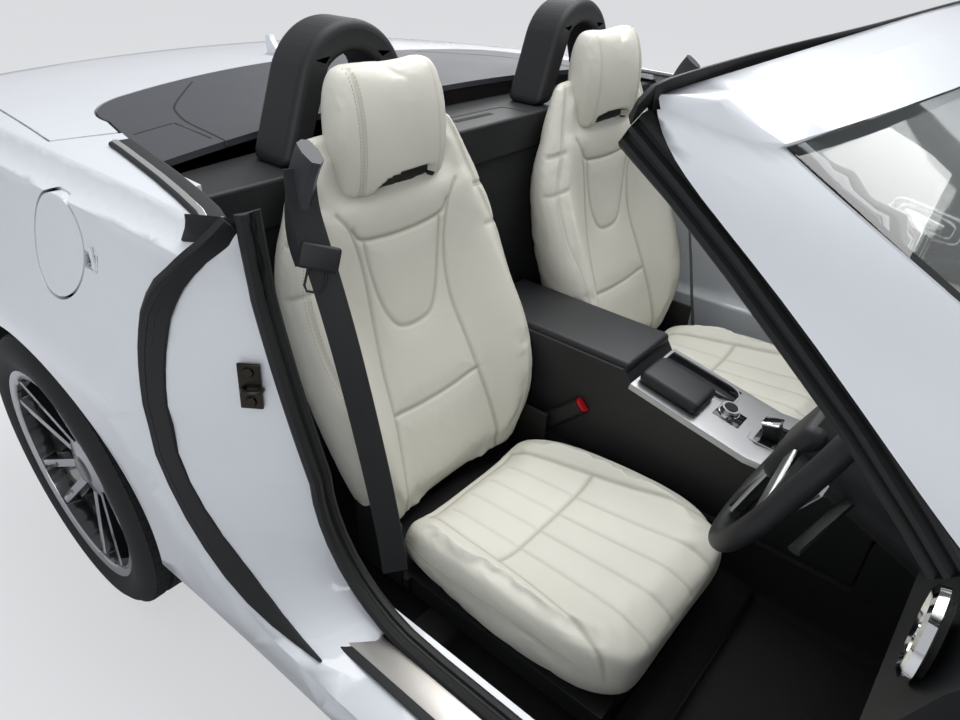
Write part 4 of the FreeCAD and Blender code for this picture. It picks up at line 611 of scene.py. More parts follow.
for sign in (-1, 1):
    cushion_seams.append(([(level, y) for y, level in on_seat(rounded_line(
        [(sign * 196, -560), (sign * 222, -470), (sign * 230, -320), (sign * 228, -200), (sign * 216, -120),
         (sign * 200, -80)]))], 0.5, PAIR))
sewn(cushion_right, cushion_seams, 2)
headrest_seams = [
    (on_seat([(-86, 1140), (-88, 1060), (-91, 970), (-92, 905)]), 0.6, PAIR),
    (on_seat([(86, 1140), (88, 1060), (91, 970), (92, 905)]), 0.35, BARE),
]
sewn(headrest_right, headrest_seams, 0, deep=5)

# the arched slot under the headrest is pressed in and lined with near-black, which is its own black and
# painted shade of its depth
SLOT_DEPTH = 0.018
SLOT = [(-72, 900), (-64, 926), (-44, 946), (6, 954), (54, 952), (80, 943), (86, 900)]


def in_slot(across, level):
    """Whether a point lies in the slot's outline."""
    inside = False
    for (ya, za), (yb, zb) in zip(SLOT, SLOT[1:] + SLOT[:1]):
        if (za > level) != (zb > level) and across < ya + (level - za) / (zb - za) * (yb - ya):
            inside = not inside
    return inside


headrest_right.data.materials.append(black_and_depth_shade)
for polygon in headrest_right.data.polygons:
    local = to_frame.inverted() @ polygon.center
    if polygon.normal.x > 0.1 and in_slot(local.y - SEAT_MIDDLE, local.z):
        polygon.material_index = 1
for vert in headrest_right.data.vertices:
    local = to_frame.inverted() @ vert.co
    if vert.normal.x > 0.1 and in_slot(local.y - SEAT_MIDDLE, local.z - 2) and local.x > -760:
        vert.co.x -= SLOT_DEPTH
stitches_right = [
    stitched("back_stitches_right", backrest_right, back_seams, 0),
    stitched("cushion_stitches_right", cushion_right, cushion_seams, 2),
    stitched("headrest_stitches_right", headrest_right, headrest_seams, 0, offset=5.5),
]
for piece, name in zip(stitches_right, ("back_stitches_left", "cushion_stitches_left",
                                        "headrest_stitches_left")):
    other_side(piece, name)
for piece, name, node in [(backrest_right, "backrest_left", "seat_backrests"),
                          (cushion_right, "cushion_left", "seat_cushions"),
                          (headrest_right, "headrest_left", "headrests")]:
    twin = other_side(piece, name)
    for pad in (piece, twin):
        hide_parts(node)
# grained moulding over the seat's frame: black with a satin sheen
seat_plastic = finished("black seat side moulding", "#161617", 0.5, bump=(0.9, 0.08))
smooth_copy("seat_bases", seat_plastic, soften=6)


# Door opening: the shut face is part of the painted quarter. A flat rubber seal follows its outer edge, a
# fatter hollow seal clips over the flange round the cabin, and a moulded rubber corner fills the top of the
# lock post. The latch striker is bolted half way up.

# moulded rubber: matt charcoal with soft highlights along its lips
seal_rubber = finished("moulded sealing rubber", "#131415", 0.62, bump=(1.2, 0.12))
# brushed stainless steel: bright and warm, with reflections that its grain draws out
brushed_plate = finished("brushed stainless sill plate", "#d8d4cf", 0.34, bump=(0.8, 0.03), Metallic=1.0)


def land(surface, start, direction):
    """Where a line from a point meets a surface, in the car's millimetres."""
    hit = surface.ray_cast(to_frame @ Vector(start), Vector(direction))[0]
    return to_frame.inverted() @ hit if hit else None


def rounded_block(shape, size, matrix, radius, segments=4):
    """A block whose edges are all rounded, set in place by a matrix."""
    made = bmesh.new()
    bmesh.ops.create_cube(made, size=1)
    bmesh.ops.transform(made, verts=made.verts, matrix=Matrix.Diagonal((*size, 1)))
    bmesh.ops.bevel(made, geom=made.edges[:], offset=radius, segments=segments, affect="EDGES", profile=0.5,
                    material=-1)
    made.transform(matrix)
    mesh = bpy.data.meshes.new("part")
    made.to_mesh(mesh)
    made.free()
    shape.from_mesh(mesh)
    bpy.data.meshes.remove(mesh)


def turned(shape, low_radius, high_radius, depth, segments, matrix):
    """A short turned form with flat ends, set in place by a matrix."""
    made = bmesh.ops.create_cone(shape, cap_ends=True, segments=segments, radius1=low_radius,
                                 radius2=high_radius, depth=depth)["verts"]
    bmesh.ops.transform(shape, verts=made, matrix=matrix)


def swept(shape, path, section, normals, taper=0):
    """A strip with one section along a path; normals is one direction or one for each point, and taper
    is the number of points over which the strip grows to its full width."""
    rings = []
    for index, point in enumerate(path):
        point = Vector(point)
        run = (Vector(path[min(index + 1, len(path) - 1)]) - Vector(path[max(index - 1, 0)])).normalized()
        facing = Vector(normals[index] if isinstance(normals, list) else normals)
        up = (facing - run * facing.dot(run)).normalized()
        across = run.cross(up)
        ring = bmesh.ops.create_circle(shape, segments=len(section), radius=1)["verts"]
        grown = min(1, 0.1 + index / taper) if taper else 1
        for vert, (wide, high) in zip(ring, section):
            vert.co = point + across * wide * grown + up * high
        rings.append(ring)
    for first, second in zip(rings, rings[1:]):
        both = set(first) | set(second)
        edges = {edge for vert in both for edge in vert.link_edges
                 if (set(edge.verts) <= set(first)) or (set(edge.verts) <= set(second))}
        bmesh.ops.bridge_loops(shape, edges=list(edges))
    for ring in (rings[0], rings[-1]):
        bmesh.ops.contextual_create(shape, geom=list(ring))


def rounded_section(width, height, steps=5):
    """A strip's section: flat below and rounded at both top edges."""
    edge = min(height, width / 2) * 0.9
    points = [(-width / 2, 0)]
    for step in range(steps + 1):
        turn = math.pi / 2 * step / steps
        points.append((-width / 2 + edge * (1 - math.cos(turn)), height - edge + edge * math.sin(turn)))
    points += [(-wide, high) for wide, high in points[::-1][:-1]]
    return points + [(width / 2, 0)]


def arc_through(start, through, end, steps=9):
    """Points on the circle through three points, in the door opening's own plane."""
    (ax, ay), (bx, by), (cx, cy) = start, through, end
    d = 2 * (ax * (by - cy) + bx * (cy - ay) + cx * (ay - by))
    a_square, b_square, c_square = [x * x + y * y for x, y in (start, through, end)]
    ux = (a_square * (by - cy) + b_square * (cy - ay) + c_square * (ay - by)) / d
    uy = (a_square * (cx - bx) + b_square * (ax - cx) + c_square * (bx - ax)) / d
    radius = math.hypot(ax - ux, ay - uy)
    first, middle, last = [math.atan2(y - uy, x - ux) for x, y in (start, through, end)]
    sweep = (last - first) % (2 * math.pi)
    if (middle - first) % (2 * math.pi) > sweep:
        sweep -= 2 * math.pi
    turns = [first + sweep * step / steps for step in range(steps + 1)]
    return [(ux + radius * math.cos(turn), uy + radius * math.sin(turn)) for turn in turns]


# the opening's edge at the skin and at the cabin, from the sill's rear end up to the belt line
OUTER_EDGE = arc_through((-500, 362), (-770, 470), (-845, 680))
OUTER_EDGE += arc_through((-845, 680), (-825, 850), (-730, 966))[1:]
OUTER_EDGE += arc_through((-730, 966), (-690, 992), (-641, 1006))[1:]
INNER_EDGE = arc_through((-330, 372), (-478, 436), (-545, 600))
INNER_EDGE += arc_through((-545, 600), (-592, 738), (-628, 880))[1:]
INNER_EDGE += [(-628 - 14 * step / 9, 880 + 180 * step / 9) for step in range(1, 10)]
OUTER_PLANE, INNER_PLANE = -905, -728
SKIN_EDGE = [(362, -862), (400, -866), (480, -874), (600, -880), (690, -878), (780, -870), (860, -861),
             (905, -848), (940, -822), (967, -790), (993, -760), (1010, -745)]


def on_shut_face(index, inward):
    """A point of the shut face, given in millimetres inward from the skin's edge."""
    outer, inner = Vector(OUTER_EDGE[index]), Vector(INNER_EDGE[index])
    share = 0.2
    for _ in range(4):
        height = outer.lerp(inner, share).y
        for (low, low_y), (high, high_y) in zip(SKIN_EDGE, SKIN_EDGE[1:]):
            if low <= height <= high or (high == 1010 and height > 1010):
                skin_y = low_y + (high_y - low_y) * min(1, (height - low) / (high - low))
        share = (skin_y + inward - OUTER_PLANE) / (INNER_PLANE - OUTER_PLANE)
    flat = outer.lerp(inner, share)
    return Vector((flat.x, OUTER_PLANE + (INNER_PLANE - OUTER_PLANE) * share, flat.y))


quarter_surface = surface_of(bpy.data.objects["body_sides_panel"])
PAINT_REACH = 40
SEAL_SIDES = (4, 40)


def laid_on(point, facing):
    """A point put on the quarter's paint along a direction, if the paint is near."""
    hit = land(quarter_surface, point + facing * PAINT_REACH, -facing)
    return hit if hit and (hit - point).length < PAINT_REACH else point


def evened(values):
    """A run of numbers without its spikes, and then smoothed."""
    windows = [sorted(values[max(index - 2, 0):index + 3]) for index in range(len(values))]
    values = [window[len(window) // 2] for window in windows]
    for _ in range(3):
        windows = [values[max(index - 1, 0):index + 2] for index in range(len(values))]
        values = [sum(window) / len(window) for window in windows]
    return values


shut_facings = []
for index in range(len(OUTER_EDGE) - 4):
    across = on_shut_face(index, SEAL_SIDES[1]) - on_shut_face(index, SEAL_SIDES[0])
    facing = (on_shut_face(index + 1, 22) - on_shut_face(max(index - 1, 0), 22)).cross(across).normalized()
    shut_facings.append(facing if facing.x > 0 else -facing)
seal_edges = []
for inward in SEAL_SIDES:
    points = [on_shut_face(index, inward) for index in range(len(shut_facings))]
    heights = [(laid_on(point, facing) - point).dot(facing) for point, facing in zip(points, shut_facings)]
    lifts = evened(heights)
    seal_edges.append([point + facing * lift for point, facing, lift in zip(points, shut_facings, lifts)])
shut_path = [(near + far_in) / 2 for near, far_in in zip(*seal_edges)]
shut_normals = []
for index, (near, far_in) in enumerate(zip(*seal_edges)):
    run = shut_path[min(index + 1, len(shut_path) - 1)] - shut_path[max(index - 1, 0)]
    facing = run.cross(far_in - near).normalized()
    shut_normals.append(facing if facing.x > 0 else -facing)
shape = bmesh.new()
swept(shape, shut_path, [(-20, -6)] + rounded_section(40, 4) + [(20, -6)], shut_normals, taper=4)
ridge_path = [point + normal * 1.5 for point, normal in zip(shut_path, shut_normals)]
swept(shape, ridge_path, [(-15, 0), (-13, 2.6), (-9, 3.2), (-6, 0.6), (-2, 0.6), (0, 2.4), (2, 0.6), (3, 0)],
      shut_normals, taper=4)
shape_to_piece("shut_face_seal", shape, seal_rubber)

flange_line = [(-636, 1000), (-634, 960), (-629, 900)] + INNER_EDGE[18:9:-1] + INNER_EDGE[9:0:-1]
flange_line += [(-300, 372), (-150, 372), (0, 372), (150, 372), (300, 372), (420, 372)]
flange_path = [(x, -731, z) for x, z in flange_line]
flange_normals = []
for index in range(len(flange_line)):
    before = Vector(flange_line[max(index - 1, 0)])
    after = Vector(flange_line[min(index + 1, len(flange_line) - 1)])
    run = (after - before).normalized()
    flange_normals.append((-run.y, 0, run.x) if -run.y > 0 or run.x > 0.5 else (run.y, 0, -run.x))
shape = bmesh.new()
swept(shape, flange_path, [(-19, -2), (-19, 3), (-13, 8), (-6, 8), (-3, 4), (0, 4), (4, 10), (10, 13),
                           (17, 10), (20, 3), (19, -2)],
      flange_normals)
shape_to_piece("flange_seal", shape, seal_rubber)

# the rubber corner at the top of the post: one moulding with folds
shape = bmesh.new()
corner = bmesh.ops.create_grid(shape, x_segments=18, y_segments=10, size=1)["verts"]
for vert in corner:
    along, up = vert.co.x, vert.co.y
    height = 938 + up * 52
    depth = -779 + 48 * (along + 1) / 2
    hang = -34 * max(0, math.cos(along * 2.6)) if up < -0.9 else 0
    fold = 5 * math.sin(along * 7) * (1 - up) / 2 + 4 * math.sin(up * 5 + along * 2)
    vert.co = Vector((-752 + 128 * (along + 1) / 2 + fold + (up + 1) * 22 * (1 - along) / 2, depth,
                      height + hang * 0.4))
bmesh.ops.solidify(shape, geom=shape.faces[:] + shape.edges[:] + shape.verts[:], thickness=9)
shape_to_piece("post_corner_rubber", shape, seal_rubber, sharp=60)

# the striker: a plate with two countersunk screws and a bent loop
# phosphated steel: dark and brownish, with a dull metal sheen
striker_steel = finished("phosphated striker steel", "#3a3632", 0.38, bump=(3, 0.1), Metallic=1.0)
STRIKER_INWARD = 108
striker_place = on_shut_face(13, STRIKER_INWARD)
striker_run = on_shut_face(14, STRIKER_INWARD) - on_shut_face(12, STRIKER_INWARD)
striker_normal = striker_run.cross(on_shut_face(13, 140) - on_shut_face(13, 80)).normalized()
if striker_normal.x < 0:
    striker_normal = -striker_normal
striker_up = striker_run.normalized()
striker_turn = Matrix((striker_up.cross(striker_normal), striker_up, striker_normal)).transposed().to_4x4()
shape = bmesh.new()
rounded_block(shape, (34, 74, 5), Matrix.Identity(4), 2, 2)
for offset in (-24, 24):
    turned(shape, 9, 7, 4, 20, Matrix.Translation((0, offset, 3.6)))
swept(shape, [(-9, -3, 2), (-9, -3, 9), (-6, -3, 13), (0, -3, 14), (12, -3, 13), (18, -3, 9), (18, -3, 2)],
      [(4 * math.cos(a * math.pi / 4), 4 * math.sin(a * math.pi / 4)) for a in range(8)], (0, 1, 0))
shape.transform(Matrix.Translation(striker_place + striker_normal * 2) @ striker_turn)
shape_to_piece("door_striker", shape, striker_steel)

# the bright tread plate in its black surround on the sill
for name, size, middle, radius, material in [
    ("sill_surround", (880, 66, 5), (-60, -775, 373), 2, black_trim),
    ("sill_tread_plate", (810, 44, 2.4), (-40, -773, 376), 1, brushed_plate),
]:
    shape = bmesh.new()
    rounded_block(shape, size, Matrix.Translation(middle), radius, 2)
    shape_to_piece(name, shape, material)


# Belt line: a polished aluminium strip pressed into an extruded rubber, which is clipped along the top edge
# of the quarter, on both sides.

# polished aluminium: bright and warm, mirror-like with a slight waviness
bright_strip_metal = finished("polished aluminium strip", "#d9d7d3", 0.22, bump=(12, 0.02), Metallic=1.0)
shape = bmesh.new()
belt_line = []
for x, y in [(-1085, -678), (-1040, -684), (-960, -696), (-880, -708), (-800, -722), (-730, -736),
             (-668, -752)]:
    top = land(quarter_surface, (x, y - 12, 1300), (0, 0, -1))
    belt_line.append(Vector((x, y, max(top.z if top else 975, 950) + 1)))
swept(shape, belt_line, rounded_section(40, 6), (0, 0, 1))
belt_rubber = shape_to_piece("belt_line_rubber_right", shape, seal_rubber)
shape = bmesh.new()
swept(shape, [point + Vector((0, -9, 5.6)) for point in belt_line], rounded_section(10, 2.4), (0, 0, 1))
belt_bright = shape_to_piece("belt_line_strip_right", shape, bright_strip_metal)
other_side(belt_rubber, "belt_line_rubber_left")
other_side(belt_bright, "belt_line_strip_left")


# Seat belts: black woven webbing from a moulded shoulder guide down to the sill, with a tongue hanging on
# it; the buckle with its red button stands on a stalk at the tunnel.

# woven polyester: soft black with fine ribs along it, about 2 mm apart
webbing, tree, out = blank_material("woven belt webbing")
place_on = add(tree, "TexCoord").outputs["Object"]
ribs = add(tree, "TexWave", {"wave_type": "BANDS", "bands_direction": "Y"}, Vector=place_on, Scale=160.0,
           Distortion=0.4)
rib_height = add(tree, "Bump", Height=ribs.outputs["Fac"], Strength=0.5, Distance=0.0004)
fibre = add(tree, "TexNoise", Vector=place_on, Scale=900.0, Detail=2.0)
fibre_colour = add(tree, "Mix", {"data_type": "RGBA"}, Factor=fibre.outputs["Fac"], _6=linear("#121314"),
                   _7=linear("#1f2022"))
webbing_shader = add(tree, "BsdfPrincipled", Base_Color=fibre_colour.outputs[2], Roughness=0.62,
                     Normal=rib_height.outputs[0], Sheen_Weight=0.25)
tree.links.new(webbing_shader.outputs[0], out.inputs["Surface"])
# satin moulding: dark grey, with a soft highlight down its fold
guide_plastic = finished("satin dark guide moulding", "#3a3c41", 0.34, bump=(1.2, 0.04))
# moulded button: plain signal red with a low gloss
red_button = finished("red button moulding", "#c8141c", 0.35, bump=(1.0, 0.03))
BELT_PATH = [(-690, -606, 1018), (-688, -606, 960), (-674, -604, 905), (-652, -603, 840), (-628, -602, 760),
             (-606, -602, 680), (-586, -602, 600), (-566, -603, 520), (-548, -604, 440), (-532, -607, 370),
             (-520, -611, 310)]
belt_points = rounded_line(BELT_PATH, 4)
top_facing, foot_facing = Vector((0.82, -0.42, 0.3)), Vector((0.8, -0.6, 0.1))
belt_normals = [top_facing.lerp(foot_facing, index / len(belt_points)) for index in range(len(belt_points))]
shape = bmesh.new()
swept(shape, belt_points, [(-23, 0), (-22, 0.8), (22, 0.8), (23, 0), (22, -0.8), (-22, -0.8)], belt_normals)
belt_right = shape_to_piece("belt_webbing_right", shape, webbing)
shape = bmesh.new()
swept(shape, rounded_line([(-668, -600, 1046), (-690, -600, 1010), (-712, -600, 950), (-716, -600, 900),
                           (-704, -600, 862)], 5),
      [(-11, -18), (-14, 0), (-11, 20), (0, 26), (11, 20), (14, 0), (11, -18), (0, -22)], (1, 0, 0.1))
guide_right = shape_to_piece("belt_guide_right", shape, guide_plastic, sharp=50)
shape = bmesh.new()
tongue_turn = Matrix(((0.5, 0.82, -0.3), (0.86, -0.42, 0.3), (0.1, -0.4, -0.9))).transposed().to_4x4()
rounded_block(shape, (62, 14, 40), Matrix.Identity(4), 5, 3)
swept(shape, [(-14, 0, 18), (-15, 0, 46), (-10, 0, 54), (10, 0, 54), (15, 0, 46), (14, 0, 18)],
      [(2 * math.cos(a * math.pi / 3), 2 * math.sin(a * math.pi / 3)) for a in range(6)], (0, 1, 0))
shape.transform(Matrix.Translation((-662, -606, 888)) @ tongue_turn)
tongue_right = shape_to_piece("belt_tongue_right", shape, black_trim)
shape = bmesh.new()
swept(shape, [Vector((-600, -105, 306)), Vector((-480, -105, 428)), Vector((-466, -105, 442))],
      rounded_section(40, 15), (0, -1, 0))
shape.transform(Matrix.Translation((0, 7, 0)))
buckle_right = shape_to_piece("buckle_right", shape, black_trim)
shape = bmesh.new()
swept(shape, [Vector((-467, -98, 441)), Vector((-460, -98, 448))], rounded_section(34, 12), (0, -1, 0))
button_right = shape_to_piece("buckle_button_right", shape, red_button)
for piece, name in [(belt_right, "belt_webbing_left"), (guide_right, "belt_guide_left"),
                    (tongue_right, "belt_tongue_left"), (buckle_right, "buckle_left"),
                    (button_right, "buckle_button_left")]:
    other_side(piece, name)


# Screen pillar and header seals: extruded rubber with three lips, pushed into a channel on the frame's rear
# edge, where the door glass and the roof meet it.
WHITE_EDGE = [(-152, -610, 1172), (-88, -625, 1134), (-16, -645, 1090), (50, -665, 1050), (110, -685, 1013),
              (167, -705, 974), (190, -712, 955)]
LIP_EDGE = [(-190, -610, 1163), (-128, -620, 1128), (-52, -640, 1085), (19, -660, 1038), (85, -680, 996),
            (149, -700, 947), (188, -711, 915)]
pillar_path, pillar_normals = [], []
for index, (white, lip) in enumerate(zip(WHITE_EDGE, LIP_EDGE)):
    before, after = Vector(WHITE_EDGE[max(index - 1, 0)]), Vector(WHITE_EDGE[min(index + 1, 6)])
    facing = (after - before).cross(Vector(lip) - Vector(white))
    pillar_normals.append(facing if facing.y < 0 else -facing)
    pillar_path.append(Vector(white).lerp(Vector(lip), 0.5) + Vector((0, 6, 0)))
shape = bmesh.new()
swept(shape, pillar_path, [(-24, -8), (-22, 1), (-16, 7), (-11, 7), (-9, 1), (-5, 1), (-2, 8), (3, 8), (5, 1),
                           (9, 1), (12, 6), (17, 6), (21, 0), (22, -8)], pillar_normals)
pillar_seal = shape_to_piece("pillar_seal_right", shape, seal_rubber)
other_side(pillar_seal, "pillar_seal_left")
header_line = rounded_line([(-163, -604, 1186), (-150, -598, 1196), (-112, -470, 1213), (-68, -300, 1228),
                            (-46, 0, 1238), (-68, 300, 1228), (-112, 470, 1213), (-150, 598, 1196),
                            (-163, 604, 1186)], 5)
shape = bmesh.new()
swept(shape, header_line, [(-20, 0), (-18, 5), (-10, 7), (-4, 3), (2, 3), (8, 8), (16, 6), (20, 0)],
      (-1, 0, 0.35))
shape_to_piece("header_seal", shape, seal_rubber)


# Cover gaps: the cover behind the seats is of moulded panels that meet in narrow gaps, with a hinged flap at
# each corner and a smaller panel with a handle slot between the hoops.

# painted shade of the gap between two panels: a near-black strip laid on the panels, as no light comes out of
# the gap
gap_painted_shade = finished("dark panel gap", "#08080a", 0.8, bump=(2, 0.05))
OVER_PANELS = 1400


def on_panel(piece, points):
    """Points dropped from above on a piece; what misses keeps its own height."""
    surface = surface_of(piece)
    landed = []
    for x, y, z in points:
        hit = land(surface, (x, y, OVER_PANELS), (0, 0, -1))
        landed.append((x, y, hit.z if hit else z))
    return landed


cover_piece = bpy.data.objects["tonneau_cover_panel"]
shelf_piece = bpy.data.objects["rear_shelf_panel"]
# the gaps and the handle slot are near-black strips of painted shade laid on the panels
gap_section = [(-2.6, -1), (-2.2, 0.3), (2.2, 0.3), (2.6, -1)]
for side, hand in ((1, "right"), (-1, "left")):
    shape = bmesh.new()
    for line in (
        rounded_line([(-1412, -352, 985), (-1330, -420, 985), (-1240, -492, 985), (-1180, -520, 985),
                      (-1110, -538, 985), (-1020, -546, 985), (-965, -552, 985)], 6),
        [(-1128, -560, 985), (-1116, -640, 985)],
        [(-1128, -556, 985), (-1000, -560, 985)],
    ):
        swept(shape, on_panel(cover_piece, [(x, y * side, z) for x, y, z in line]), gap_section, (0, 0, 1))
    shape_to_piece("cover_gaps_" + hand, shape, gap_painted_shade)
shape = bmesh.new()
panel_line = rounded_line([(-905, -130, 962), (-912, -118, 962), (-914, -60, 962), (-910, 60, 962),
                           (-906, 118, 962), (-895, 130, 962), (-850, 134, 962), (-829, 134, 962)], 4)
swept(shape, on_panel(shelf_piece, panel_line), gap_section, (0, 0, 1))
swept(shape, on_panel(shelf_piece, [(-905, -130, 962), (-829, -134, 962)]), gap_section, (0, 0, 1))
slot_line = [(-884, -60, 962), (-880, 60, 962)]
swept(shape, on_panel(shelf_piece, slot_line), [(-9, -1), (-8, 0.5), (8, 0.5), (9, -1)], (0, 0, 1))
shape_to_piece("shelf_panel_gaps", shape, gap_painted_shade)


# Console: a foam armrest and a smaller lid, both in pebbled skin, over a moulded satin silver plate with the
# turning knob, the gear lever's gate and a dark tray with a bright edge; all clip in from above.

# pebbled skin over foam: black, soft sheen and a grain of 1.6 mm
pad_black = finished("black pebbled pad skin", "#1c1d20", 0.5, bump=(1.6, 0.12))
# satin metallised moulding: even pale silver with blurred reflections
satin_silver = finished("satin silver trim", "#b4b5b6", 0.3, bump=(0.8, 0.01), Metallic=0.9)
# chrome plate: a nearly perfect mirror
chrome = finished("chromed trim", "#e6e7e8", 0.07, bump=(20, 0.01), Metallic=1.0)
console_slope = Matrix.Translation((-240, 0, 515)) @ Matrix.Rotation(math.radians(11.35), 4, "Y")
shape = bmesh.new()
rounded_block(shape, (404, 180, 26), Matrix.Translation((-578, 0, 568)), 11)
shape_to_piece("armrest_pad", shape, pad_black)
shape = bmesh.new()
rounded_block(shape, (136, 92, 30), console_slope @ Matrix.Translation((-56, -30, 16)), 13)
shape_to_piece("front_lid_pad", shape, pad_black)
shape = bmesh.new()
swept(shape, [(-364, 0, 541), (-240, 0, 516), (-113, 0, 491), (-50, 0, 493), (40, 0, 498)],
      [(-98, -9), (-98, -1), (-95, 2.5), (-80, 3), (80, 3), (95, 2.5), (98, -1), (98, -9)], (0, 0, 1))
shape_to_piece("console_plate", shape, satin_silver)
shape = bmesh.new()
rounded_block(shape, (168, 66, 4), console_slope @ Matrix.Translation((-38, 50, 2.5)), 1.8, 2)
rounded_block(shape, (58, 50, 3), console_slope @ Matrix.Translation((58, -8, 3)), 1.4, 2)
rounded_block(shape, (70, 78, 4), Matrix.Translation((-98, 0, 494)), 1.8, 2)
shape_to_piece("console_recesses", shape, gloss_black)
shape = bmesh.new()
tray_rim = rounded_line([(-120, 18, 3), (-60, 17, 3), (20, 18, 3), (44, 30, 3), (48, 50, 3), (44, 70, 3),
                         (20, 84, 3), (-60, 85, 3), (-120, 84, 3)], 5)
swept(shape, [console_slope @ Vector(point) for point in tray_rim],
      [(-2, 0), (-1.4, 2.4), (1.4, 2.4), (2, 0)], (0.2, 0, 1))
gate_rim = rounded_line([(-132, -38, 496), (-98, -40, 496), (-66, -38, 496), (-62, 0, 496), (-66, 38, 496),
                         (-98, 40, 496), (-132, 38, 496), (-135, 0, 496), (-132, -38, 496)], 4)
swept(shape, gate_rim, [(-2, 0), (-1.4, 2.2), (1.4, 2.2), (2, 0)], (0, 0, 1))
shape_to_piece("console_bright_edges", shape, chrome)
shape = bmesh.new()
for radius, low, high in ((23, 4, 8), (20, 8, 19)):
    ring_place = console_slope @ Matrix.Translation((52, -2, (low + high) / 2))
    turned(shape, radius, radius - 1.5, high - low, 48, ring_place)
shape_to_piece("turning_knob", shape, chrome)
shape = bmesh.new()
turned(shape, 14, 13, 2, 48, console_slope @ Matrix.Translation((52, -2, 19.6)))
shape_to_piece("turning_knob_top", shape, gloss_black)
shape = bmesh.new()
rounded_block(shape, (34, 30, 36), Matrix.Translation((-100, 0, 510)) @ Matrix.Rotation(-0.25, 4, "Y"), 8)
shape_to_piece("gear_lever", shape, black_trim)
shape = bmesh.new()
rounded_block(shape, (36, 32, 5), Matrix.Translation((-104, 0, 527)) @ Matrix.Rotation(-0.25, 4, "Y"), 2)
shape_to_piece("gear_lever_cap", shape, chrome)


# Dashboard vents: chromed rings pressed into the dashboard, each with a cross of vanes round a hub that is
# turned by hand, and a matt black duct behind it.
QUARTER_TURN = math.pi / 2
VENT_RADIUS = 42
to_rear, to_front = Matrix.Rotation(-QUARTER_TURN, 4, "Y"), Matrix.Rotation(QUARTER_TURN, 4, "Y")
for vent, (vent_y, vent_z) in enumerate([(-620, 792), (-96, 800), (96, 800), (620, 792)], 1):
    shape = bmesh.new()
    turns = [number * math.pi / 18 for number in range(37)]
    circle = [(204, vent_y + VENT_RADIUS * math.cos(turn), vent_z + VENT_RADIUS * math.sin(turn))
              for turn in turns]
    swept(shape, circle, [(-7, 0), (-5, 8), (0, 11), (5, 8), (7, 0)], [(-1, 0, 0)] * len(circle))
    for turn in (0.3, 0.3 + QUARTER_TURN):
        vane_place = Matrix.Translation((203, vent_y, vent_z)) @ Matrix.Rotation(turn, 4, "X")
        rounded_block(shape, (6, 78, 7), vane_place, 2, 2)
    turned(shape, 9, 7, 8, 24, Matrix.Translation((198, vent_y, vent_z)) @ to_rear)
    shape_to_piece("vent_%d" % vent, shape, chrome)
    shape = bmesh.new()
    turned(shape, 38, 38, 6, 36, Matrix.Translation((209, vent_y, vent_z)) @ to_front)
    # the disc behind the vanes is near-black: the duct's own black and painted shade of its depth
    shape_to_piece("vent_back_%d" % vent, shape, black_and_depth_shade)


# Running gear: forged arms and knuckles, a cast engine and gearbox block and a welded stainless exhaust,
# bolted to the shell from below.

# cast aluminium: pale grey metal, dull and slightly rough from the sand
cast_metal = finished("cast aluminium covers", "#8f9092", 0.5, bump=(1.2, 0.1), Metallic=1.0)
# forged steel: dark scale with a low metal sheen
dark_steel = finished("dark forged steel", "#3b3c3e", 0.5, bump=(1.5, 0.1), Metallic=1.0)
# drawn stainless tube: smooth and bright
bright_steel = finished("stainless tube", "#b9b8b5", 0.28, Metallic=1.0)
for node, material in [("engine_block", cast_metal), ("front_axle", dark_steel), ("rear_axle", dark_steel),
                       ("exhaust", bright_steel), ("knuckle_right", dark_steel), ("knuckle_left", dark_steel),
                       ("pedals", dark_steel)]:
    smooth_copy(node, material)


# Wheels: cast alloy, sprayed black all over and then turned bright on the faces of the spokes and the rim's
# edge. Bolts sit in pockets round a small cap. Tyres have four grooves, cut blocks and ribbed sidewalls.

# wheel enamel: black and glossy under a clear coat
wheel_black = finished("black wheel enamel", "#18191b", 0.25, Coat_Weight=0.8)
# turned alloy: bright, with fine turning marks that blur its reflections
turned_alloy = finished("turned bright alloy", "#b9bbbd", 0.24, bump=(0.5, 0.01), Metallic=1.0)
# tyre rubber: matt, nearly black
tyre_rubber = finished("tyre rubber", "#1b1b1c", 0.78, bump=(1.0, 0.08))
# zinc-plated bolts: grey metal with a soft shine
bolt_steel = finished("plated wheel bolts", "#8d8e90", 0.3, bump=(2, 0.02), Metallic=1.0)
TREAD_STEPS = 84
GROOVE_DEPTH, BLOCK_EDGE, BLOCK_RISE = 9, 1.6, 2.2
BEAD_RADIUS = 229
FACE_DEPTH, HUB_RADIUS = 62, 34
BOLT_COUNT, BOLT_CIRCLE, BOLT_DEPTH = 5, 56, 48
CAP_DEPTH = 37


